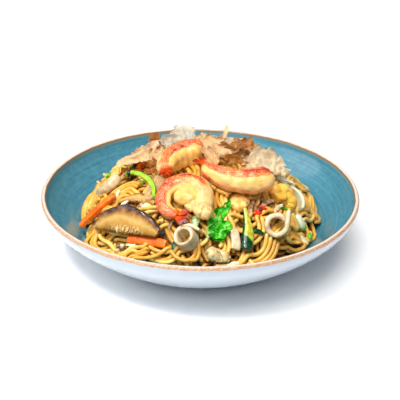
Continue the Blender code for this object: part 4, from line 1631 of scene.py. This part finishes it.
def browned_material(name, light, middle, dark, scale, gloss=0.35, brown=0.62):
    """Soft cooked food: pale and mottled, browned in patches; frill is its dark edge."""
    g = Graph(name)
    place = g.where()
    cloud = g.noise(place, scale, 4)
    colour = g.ramp(cloud, (0.34, rgb(*middle)), (0.6, rgb(*light)))
    patch = g.span(g.noise(place, scale * 1.9, 3), brown - 0.1, brown + 0.06)
    colour = g.mix(g.math("MULTIPLY", patch, 0.8), colour, rgb(*dark))
    colour = g.mix(g.span(g.attribute("frill"), 0.3, 0.9), colour, rgb(*dark))
    surface = g.principled(
        colour, 0.35, Specular_IOR_Level=0.3, Subsurface_Weight=0.2, Subsurface_Radius=(1.0, 0.6, 0.3),
        Subsurface_Scale=0.0025, Coat_Weight=gloss, Coat_Roughness=0.15,
        Normal=g.bump(cloud, 0.5, 0.6),
    )
    return g.finish(surface)


def make_other_toppings():
    made = []
    mussel = browned_material("mussel", (238, 212, 152), (206, 170, 104), (112, 84, 66), 0.16)
    solid = Solid("frill")
    points, faces = blob((-2.5, 0, 0.4), (6.2, 4.6, 4), lumps=0.2, size=4, seed=20)
    solid.add(points, faces)
    points, faces = blob((3.6, 0.6, 0.2), (5, 4.2, 3.4), lumps=0.25, size=4, seed=21)
    solid.add(points, faces)
    for k, (x, y, z, length, width, spin) in enumerate((
        (6, -2, 0.8, 7, 4, 20), (7, 2, 0.4, 6, 4, -30), (1, -3.4, 1, 8, 3.4, 5), (-6.5, 2, 1, 6, 4, 60),
    )):
        points, faces, edge = ruffled_sheet(length, width, 0.9, 3, 0.5, 3.1 * k, 20, 10)
        turn = Matrix.Translation((x, y, z)) @ Matrix.Rotation(math.radians(spin), 4, "Z")
        solid.add(moved(points, turn), faces, frill=edge * 0.9)
    made.append(solid.piece("mussel_meat", mussel, "mussel", "mussel", stand(12.5, -84, 2.2, -16)))

    solid = Solid("frill")
    for k, (x, y, z, r) in enumerate(((-2.4, 0, 0, 2.4), (0, 1, 1, 2.2), (2.2, -0.6, 0.4, 2.2), (0.8, -1.6, -0.6, 2.4))):
        points, faces = blob((x, y, z), (r, r * 0.9, r), rings=12, sides=14, lumps=0.3, size=2, seed=30 + k)
        solid.add(points, faces, frill=0.9 if k % 2 else 0.1)
    made.append(solid.piece(
        "squid_tentacle_meat", mussel, "mussel", "squid_tentacle", stand(-57, -67.5, 1.4, 40),
    ))

    scallop = browned_material("scallop", (255, 214, 124), (240, 170, 66), (170, 100, 36), 0.13)
    solid = Solid("frill")
    points, faces = blob((0, 0, 0.6), (7.5, 6.5, 4.1), 22, 30, lumps=0.3, size=4, seed=40, power=0.7)
    solid.add(points, faces)
    made.append(solid.piece("scallop_meat", scallop, "scallop", "scallop", stand(28.5, -49, 0.2, 50)))

    omelette = browned_material(
        "omelette", (252, 204, 84), (236, 158, 30), (150, 74, 22), 0.11, brown=0.70,
    )
    solid = Solid("frill")
    chunks = (
        ((-4.5, -0.5, 0.6), (7.6, 7.0, 5.0)), ((4.5, 1.0, 0.0), (7.4, 6.4, 4.8)),
        ((0.5, 4.2, 1.4), (7.0, 4.4, 4.6)), ((9.0, -2.6, -1.2), (4.6, 4.2, 3.6)),
        ((-8.5, 3.2, -0.5), (4.6, 4.2, 3.6)),
    )
    for k, (middle, radii) in enumerate(chunks):
        points, faces = blob(
            middle, radii, rings=22, sides=30, lumps=0.42, size=4.5, seed=50 + k, power=0.75,
        )
        solid.add(points, faces)
    made.append(solid.piece(
        "omelette_chunk_cut", omelette, "omelette", "omelette_chunk", stand(59, -29, 4, -8),
    ))
    return made


# ---------------------------------------------------------------- small bits


def bit_material(name, stops, scale=0.3, roughness=0.3):
    """Small cut food: a mottled colour that runs through the stops."""
    g = Graph(name)
    place = g.where()
    cloud = g.noise(place, scale, 4)
    colour = g.ramp(cloud, *[(share, rgb(*shade)) for share, shade in stops])
    surface = g.principled(
        colour, roughness, Specular_IOR_Level=0.3, Coat_Weight=0.4, Coat_Roughness=0.12,
        Normal=g.bump(cloud, 0.3, 0.6),
    )
    return g.finish(surface)


# Small bits on top of the noodles: place in plan, length, width, height, rise, spin, sink.
PEPPER_BITS = ((42.5, -53, 7, 4.5, 2.2, 0.6, 30, 0.4), (46, -50, 6, 2.4, 1.8, 0.3, -20, 0.2))
SKIN_BITS = (
    (-17.2, -80, 8, 5, 2.4, 0.4, 70, 0.8), (41.8, -68, 9, 3.4, 2, 1, -10, 0.4),
    (-84, -42, 5, 3, 2, 0.3, 30, 0.2), (-2, -70, 7, 3, 2, 0.6, 50, 0.3),
)
GREEN_BITS = (
    (-73, 8, 5, 3, 1.6, 0.4, 20, 0), (84, -38, 6, 3.4, 1.8, 0.5, 80, 0.2),
    (64, -38, 5, 2.2, 1.4, 0.4, 10, 0), (-44, -22, 6, 2.6, 1.6, 0.8, 130, 0),
    (8, -44, 4, 2.4, 1.6, 0.3, 10, 0.2), (-60, 12, 6, 4, 1.8, 0.6, 40, 0),
)
PALE_BITS = (
    (-58, -42, 15, 3.4, 1.6, 1.4, 38, 0), (-63, -28, 10, 3, 1.4, 0.8, 60, 0),
    (-60, -14, 16, 3.6, 1.2, 1.6, 20, -0.4), (59, -5, 14, 4, 1.2, 1.2, 10, -1.5),
    (66, -8, 12, 3.4, 1.2, 1.0, -16, -1), (70, -2, 10, 3, 1, 0.8, 30, -0.6),
    (-38, -50, 9, 5, 2.4, 0.8, 10, 0), (-31, -46, 8, 4, 2.2, 0.6, -30, 0),
    (78, -46, 9, 4.5, 1.6, 0.6, -60, 0), (-50, -70, 8, 3, 1.6, 0.4, -10, 0.2),
    (24, -88, 8, 3.4, 1.6, 0.4, 20, 0.2), (58, -44, 11, 3, 1.4, 0.8, 50, 0),
)
BROWN_BITS = (
    (49, -46, 15, 3.6, 2.0, 1.4, 40, 0), (53, -42, 13, 3.0, 1.8, 1.0, 58, -0.6),
    (38, -50, 12, 4.6, 2.4, 1.2, 72, 0), (-42, -48, 8, 4, 2.4, 0.6, 8, 0),
    (-52, -46, 7, 3.4, 2.0, 0.6, -20, 0), (14, -91, 6, 4, 2.2, 0.4, 10, 0),
    (34, -55, 9, 3.6, 2, 0.8, 100, 0), (-20, -70, 8, 2.4, 1.6, 0.8, 60, 0),
)


def make_bits(bed):
    """Shreds and chips of the same foods, lying on the noodles."""
    kinds = (
        ("pepper_bits", "carrot", PEPPER_BITS, bit_material(
            "pepper", ((0.35, (176, 20, 6)), (0.6, (228, 50, 20)), (0.75, (250, 120, 70))))),
        ("courgette_skin_bits", "courgette", SKIN_BITS, bit_material(
            "courgette_skin", ((0.35, (4, 36, 18)), (0.6, (18, 84, 40)), (0.8, (120, 180, 60))))),
        ("green_bits", "leaf", GREEN_BITS, bit_material(
            "greens", ((0.35, (40, 130, 10)), (0.55, (112, 200, 34)), (0.75, (206, 236, 110))))),
        ("cabbage_bits", "cabbage", PALE_BITS, bit_material(
            "shreds", ((0.3, (206, 186, 124)), (0.5, (232, 220, 176)), (0.7, (250, 246, 222))))),
        ("mushroom_bits", "mushroom", BROWN_BITS, bit_material(
            "mushroom_bits", ((0.34, (84, 50, 36)), (0.5, (158, 112, 76)), (0.68, (220, 184, 140))))),
    )
    for name, slot, bits, material in kinds:
        solid = Solid()
        for k, (x, y, length, width, height, rise, spin, sink) in enumerate(bits):
            share = np.linspace(0, 1, 20)
            rings, _, _ = sweep(
                bow(length, rise, 20), profile([(0, 0.6 * width), (0.5, width), (1, 0.7 * width)], share),
                profile([(0, 0.8 * height), (0.5, height), (1, 0.8 * height)], share), kind="box",
                sides=16, twist=20,
            )
            rings = closed_ends(rough(rings, 0.5, 2.5, k + len(name)), (0.7, 0.9))
            top = float(bed.rest_height(np.array([x]), np.array([y]), height / 2)[0])
            place = Matrix.Translation((0, 0, top - sink - float(heap_top(x, y))))
            solid.add(moved(rings, place @ stand(x, y, 0, spin, 4)), loft_faces(*rings.shape[:2]))
        solid.piece(name, material, slot)


# ---------------------------------------------------------------- bonito flakes


def bonito_material():
    """Dried bonito shavings: thin enough to let light through and streaked along their grain.
    tone sets each between grey-white, beige and brown; clear is how much is seen through."""
    g = Graph("bonito")
    place = g.where()
    tone, edge, clear = (g.attribute(n) for n in ("tone", "edge", "clear"))
    grain = g.attribute("grain")
    streaks = g.noise(g.vector(grain, g.math("MULTIPLY", tone, 40.0)), 1.2, 4)
    cloud = g.noise(place, 0.12, 3)
    body = g.ramp(
        g.math("ADD", tone, g.math("MULTIPLY", g.math("SUBTRACT", cloud, 0.5), 0.35)),
        (0.0, rgb(228, 226, 214)), (0.3, rgb(246, 224, 180)), (0.55, rgb(242, 200, 134)),
        (0.8, rgb(206, 136, 54)), (1.0, rgb(150, 84, 28)),
    )
    pale = g.math("MULTIPLY", g.span(streaks, 0.4, 0.62, 0.0, 0.5), g.span(tone, 0.9, 0.5))
    colour = g.mix(pale, body, rgb(252, 236, 204))
    rim = g.math("MULTIPLY", g.span(edge, 0.6, 1.0), g.span(cloud, 0.45, 0.6))
    colour = g.mix(g.math("MULTIPLY", rim, 0.6), colour, rgb(190, 128, 62))
    sheet = g.principled(
        colour, 0.4, Specular_IOR_Level=0.4, Normal=g.bump(streaks, 0.12, 0.5),
    )
    glow = g.add("BsdfTranslucent", Color=colour).outputs[0]
    lit = g.add("MixShader", Fac=0.45)
    g.links.new(sheet, lit.inputs[1])
    g.links.new(glow, lit.inputs[2])
    see_through = g.math("MULTIPLY", clear, g.span(streaks, 0.3, 0.65, 1.2, 0.5))
    see_through = g.math("ADD", see_through, g.span(cloud, 0.60, 0.72, 0.0, 0.5), clamp=True)
    thin = g.add("MixShader", Fac=see_through)
    g.links.new(lit.outputs[0], thin.inputs[1])
    g.links.new(g.add("BsdfTransparent").outputs[0], thin.inputs[2])
    return g.finish(thin.outputs[0])


def ragged(t, seed, fine=1.0):
    """A rough line between -1 and 1, as along a torn edge."""
    value = np.zeros_like(t)
    for size, often in ((0.7, 0.09), (0.4, 0.23), (0.26 * fine, 0.5), (0.12 * fine, 1.1)):
        value += size * np.array([noise.noise(Vector((x * often, seed, often * 7))) for x in t]) * 1.6
    return value


def flake_sheet(draw, length, width, curl, waves, torn, rows=26, columns=9, thick=0.14):
    """A torn shaving, crumpled and curled across its grain: a thin closed sheet. Gives points,
    faces, and how far each point is from the middle line and across the grain."""
    s, w = np.meshgrid(np.linspace(0, 1, rows), np.linspace(-1, 1, columns), indexing="ij")
    seeds = [draw.uniform(0, 90) for _ in range(5)]
    run = s[:, 0] * length
    base = np.sin(np.pi * (0.12 + 0.76 * s[:, 0])) ** 0.6
    left = base * (1 + torn * ragged(run, seeds[0]))
    right = base * (1 + torn * ragged(run, seeds[1]))
    half = np.where(w < 0, left[:, None], right[:, None]) * width / 2
    bias = draw.uniform(-0.25, 0.25) * width * np.sin(np.pi * s)
    roll = w * half + bias
    ends = np.where(s > 0.5, ragged(w[0] * width / 2, seeds[2])[None], ragged(w[0] * width / 2, seeds[3])[None])
    x = (s - 0.5) * length + ends * torn * length * 0.35 * abs(2 * s - 1) ** 3
    bend = 2 * max(curl, 0.3) / (width / 2) ** 2
    angle = np.clip(roll * bend, -2.2, 2.2)
    y = np.sin(angle) / bend
    z = (1 - np.cos(angle)) / bend - curl / 2
    creases = np.array([
        (0.5 - abs(noise.noise(Vector((a / 6, b / 6, seeds[4]))) * 2)) * waves * 1.6
        + noise.noise(Vector((a / 2.4, b / 2.4, seeds[4] + 9))) * waves * 0.6
        for a, b in zip(x.ravel(), roll.ravel())
    ]).reshape(x.shape)
    flat = np.stack((x, y, z + creases), -1)
    normal = np.cross(np.gradient(flat, axis=0), np.gradient(flat, axis=1))
    normal /= np.linalg.norm(normal, axis=-1, keepdims=True) + 1e-9
    both = np.concatenate(
        ((flat + normal * thick / 2).reshape(-1, 3), (flat - normal * thick / 2).reshape(-1, 3))
    )
    grain = seeds[0] + roll * 0.9
    return both, sheet_faces(rows, columns), np.tile(abs(w).ravel(), 2), np.tile(grain.ravel(), 2)


def make_named_flakes(material):
    """The big flakes that the CAD has as nodes of their own."""
    flakes = (
        ("flake_left_point", 27, 11, 2.5, 1.2, 0.5, 0.35, 0.15, stand(-46, -7, 12.5, 176, 4, -30)),
        ("flake_brown", 18, 12, 2.0, 1.0, 0.4, 0.92, 0.05, stand(-33.5, 5, 17, 94, 30, -8)),
        ("flake_grey", 24, 20, 2.0, 1.5, 0.5, 0.0, 0.45, stand(-14, 11, 16.5, 94, 30, 4)),
        ("flake_tip", 18, 6, 0.8, 0.8, 0.7, 0.35, 0.2, stand(19, 17, 16, 82, 44, 0)),
        ("flake_curl", 20, 12, 3.5, 1.2, 0.6, 0.75, 0.1, stand(30, 3, 15.5, 24, 8, 34)),
        ("flake_right_jagged", 34, 19, 3.0, 1.5, 0.7, 0.25, 0.12, stand(42, -15, 14, 8, 8, 26)),
    )
    for name, length, width, curl, waves, torn, tone, clear, place in flakes:
        draw = random.Random(name)
        points, faces, edge, grain = flake_sheet(draw, length, width, curl, waves, torn, 52, 21)
        solid = Solid("tone", "edge", "grain", "clear")
        solid.add(points, faces, tone=tone, edge=edge, grain=grain, clear=clear)
        solid.piece(name + "_shaving", material, "bonito", name, place)


# Shavings that are seen one by one: place on the heap, lift, length, width, how it is turned
# (spin, tip, roll), tone and how clear it is.
LARGE_SHAVINGS = (
    (-38.0, -2.2, 14, 26, 13, 24, 10, 48, 0.30, 0.15),
    (-20.9, 2.1, 17, 17, 13, 20, 0, 62, 0.02, 0.45),
    (-30.2, -9.6, 13, 15, 12, 60, 10, 30, 0.50, 0.35),
    (-0.2, -2.5, 17, 22, 14, 30, 20, 52, 0.40, 0.35),
    (6.4, 0.8, 17.5, 21, 14, -20, 10, 55, 0.35, 0.30),
    (11.2, -9.1, 16, 24, 14, -42, 0, 38, 0.48, 0.35),
    (18.4, -8.5, 17, 12, 7, -12, 0, 26, 0.95, 0.0),
    (27.7, 5.9, 15, 14, 8, -24, 6, 34, 0.82, 0.0),
    (34.5, 5.3, 14, 13, 7, 18, 4, 40, 0.30, 0.05),
    (44.7, -12.7, 11, 12, 9, 40, 0, 36, 0.25, 0.15),
    (24.1, -21.6, 14.5, 15, 9, 18, 0, 30, 0.88, 0.0),
    (5.2, -25.0, 19, 22, 13, 104, 0, 16, 0.52, 0.45),
    (12.0, -20.1, 17, 21, 14, 62, 8, 10, 0.42, 0.35),
    (-34.4, -15.3, 11, 15, 8, -52, 0, 30, 0.95, 0.0),
    (-35.8, -24.2, 8, 13, 8, 20, 4, 20, 0.90, 0.05),
    (-32.5, -37.4, 6.5, 23, 17, 74, 0, 10, 0.50, 0.6),
)


def make_bonito_pile(material):
    """Loose shavings heaped behind the prawns, the upper ones standing on edge."""
    draw = random.Random("bonito pile")
    solid = Solid("tone", "edge", "grain", "clear")
    for x, y, lift, length, width, spin, tip, roll, tone, clear in LARGE_SHAVINGS:
        points, faces, edge, grain = flake_sheet(draw, length, width, 2.2, 1.3, 0.55, 34, 15)
        points = kept_low(moved(points, stand(x, y, lift, spin, tip, roll)))
        solid.add(points, faces, tone=tone, edge=edge, grain=grain, clear=clear)
    crest = np.array([
        (-52, -1), (-47, 6), (-38, 12), (-27, 16), (-16, 18), (-5, 19), (6, 18), (17, 15),
        (27, 10), (36, 4), (44, -4), (50, -12),
    ], float)
    for k in range(130):
        share = draw.random()
        spot = share * (len(crest) - 1)
        x, y = (np.interp(spot, range(len(crest)), crest[:, i]) for i in range(2))
        bulk = math.sin(math.pi * min(max(share, 0.08), 0.92)) ** 0.5
        out = draw.uniform(-1, 1) * 11 * bulk
        lift = draw.uniform(2, 15) * bulk * (1 - 0.35 * abs(out) / 11)
        x += draw.uniform(-3, 3)
        y += out
        length, width = draw.uniform(11, 22), draw.uniform(6, 12)
        points, faces, edge, grain = flake_sheet(
            draw, length, width, draw.uniform(0.8, 3.5), draw.uniform(0.8, 1.8),
            draw.uniform(0.4, 0.7), 18, 8,
        )
        steep = draw.uniform(0, 40) * (lift / 15)
        place = stand(x, y, lift, draw.uniform(0, 360), steep, draw.uniform(-50, 50))
        tone = draw.choice((0.05, 0.25, 0.3, 0.35, 0.4, 0.5, 0.6, 0.8))
        clear = draw.uniform(0.05, 0.35)
        points = kept_low(moved(points, place))
        solid.add(points, faces, tone=tone, edge=edge, grain=grain, clear=clear)
    solid.piece("bonito_shavings", material, "bonito")
    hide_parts("bonito_heap")


# ---------------------------------------------------------------- camera, light and floor


def make_camera():
    """The photograph's view: from the diner's side, 27 degrees above the table."""
    elevation = math.radians(26.67)
    target = Vector((-0.15, 0, 40.56)) * MM
    back = Vector((0, -math.cos(elevation), math.sin(elevation)))
    camera = bpy.data.objects.new("camera", bpy.data.cameras.new("camera"))
    camera.data.lens = 80
    camera.data.sensor_width = 36
    camera.location = target + back * 704.9 * MM
    camera.rotation_mode = "QUATERNION"
    level = back.to_track_quat("Z", "Y")
    camera.rotation_quaternion = level @ Matrix.Rotation(math.radians(0.73), 3, "Z").to_quaternion()
    bpy.context.scene.collection.objects.link(camera)
    bpy.context.scene.camera = camera


def add_softbox(name, place, size, power, colour=(1, 1, 1)):
    """A square soft light at a place in mm that faces the dish."""
    lamp = bpy.data.lights.new(name, "AREA")
    lamp.energy = power
    lamp.color = colour
    lamp.size = size * MM
    light = bpy.data.objects.new(name, lamp)
    light.location = Vector(place) * MM
    light.rotation_mode = "QUATERNION"
    aim = light.location - Vector((0, 0, 40)) * MM
    light.rotation_quaternion = aim.to_track_quat("Z", "Y")
    bpy.context.scene.collection.objects.link(light)


def add_sky(name, direction, spread, strength, colour=(1, 1, 1)):
    """A broad soft light from a direction, that far across in degrees."""
    lamp = bpy.data.lights.new(name, "SUN")
    lamp.energy = strength
    lamp.angle = math.radians(spread)
    lamp.color = colour
    light = bpy.data.objects.new(name, lamp)
    light.rotation_mode = "QUATERNION"
    light.rotation_quaternion = Vector(direction).to_track_quat("Z", "Y")
    bpy.context.scene.collection.objects.link(light)


def make_studio():
    world = bpy.data.worlds.new("studio")
    world.use_nodes = True
    background = world.node_tree.nodes["Background"]
    background.inputs["Color"].default_value = (0.84, 0.92, 1, 1)
    background.inputs["Strength"].default_value = 0.13
    bpy.context.scene.world = world
    bpy.context.scene.view_settings.view_transform = "Standard"
    add_sky("overhead", (-0.06, -0.30, 1), 40, 2.65, (1, 0.985, 0.96))
    add_sky("front", (-0.3, -1, 0.9), 34, 0.8)
    add_sky("side", (-1, 0.1, 0.75), 40, 0.7)
    add_softbox("sparkle", (-260, -330, 640), 110, 2.2)


def floor_material():
    g = Graph("floor")
    shade = g.noise(g.where(), 0.004, 2)
    colour = g.mix(shade, rgb(252, 252, 252), rgb(255, 255, 255))
    return g.finish(g.principled(colour, 0.9, Specular_IOR_Level=0.1))


def make_floor():
    side = 4000
    corners = [(-side, -side, 0), (side, -side, 0), (side, side, 0), (-side, side, 0)]
    add_piece("floor", corners, [(0, 1, 2, 3)], floor_material())


make_bowl()
toppings = [
    *make_prawns(), *make_squid(), *make_mushrooms(), *make_vegetables(), *make_greens(),
    *make_cabbage(), *make_other_toppings(),
]
shavings = bonito_material()
make_named_flakes(shavings)
make_bonito_pile(shavings)
make_core()
bed = make_noodles(toppings)
make_bits(bed)
make_camera()
make_studio()
make_floor()
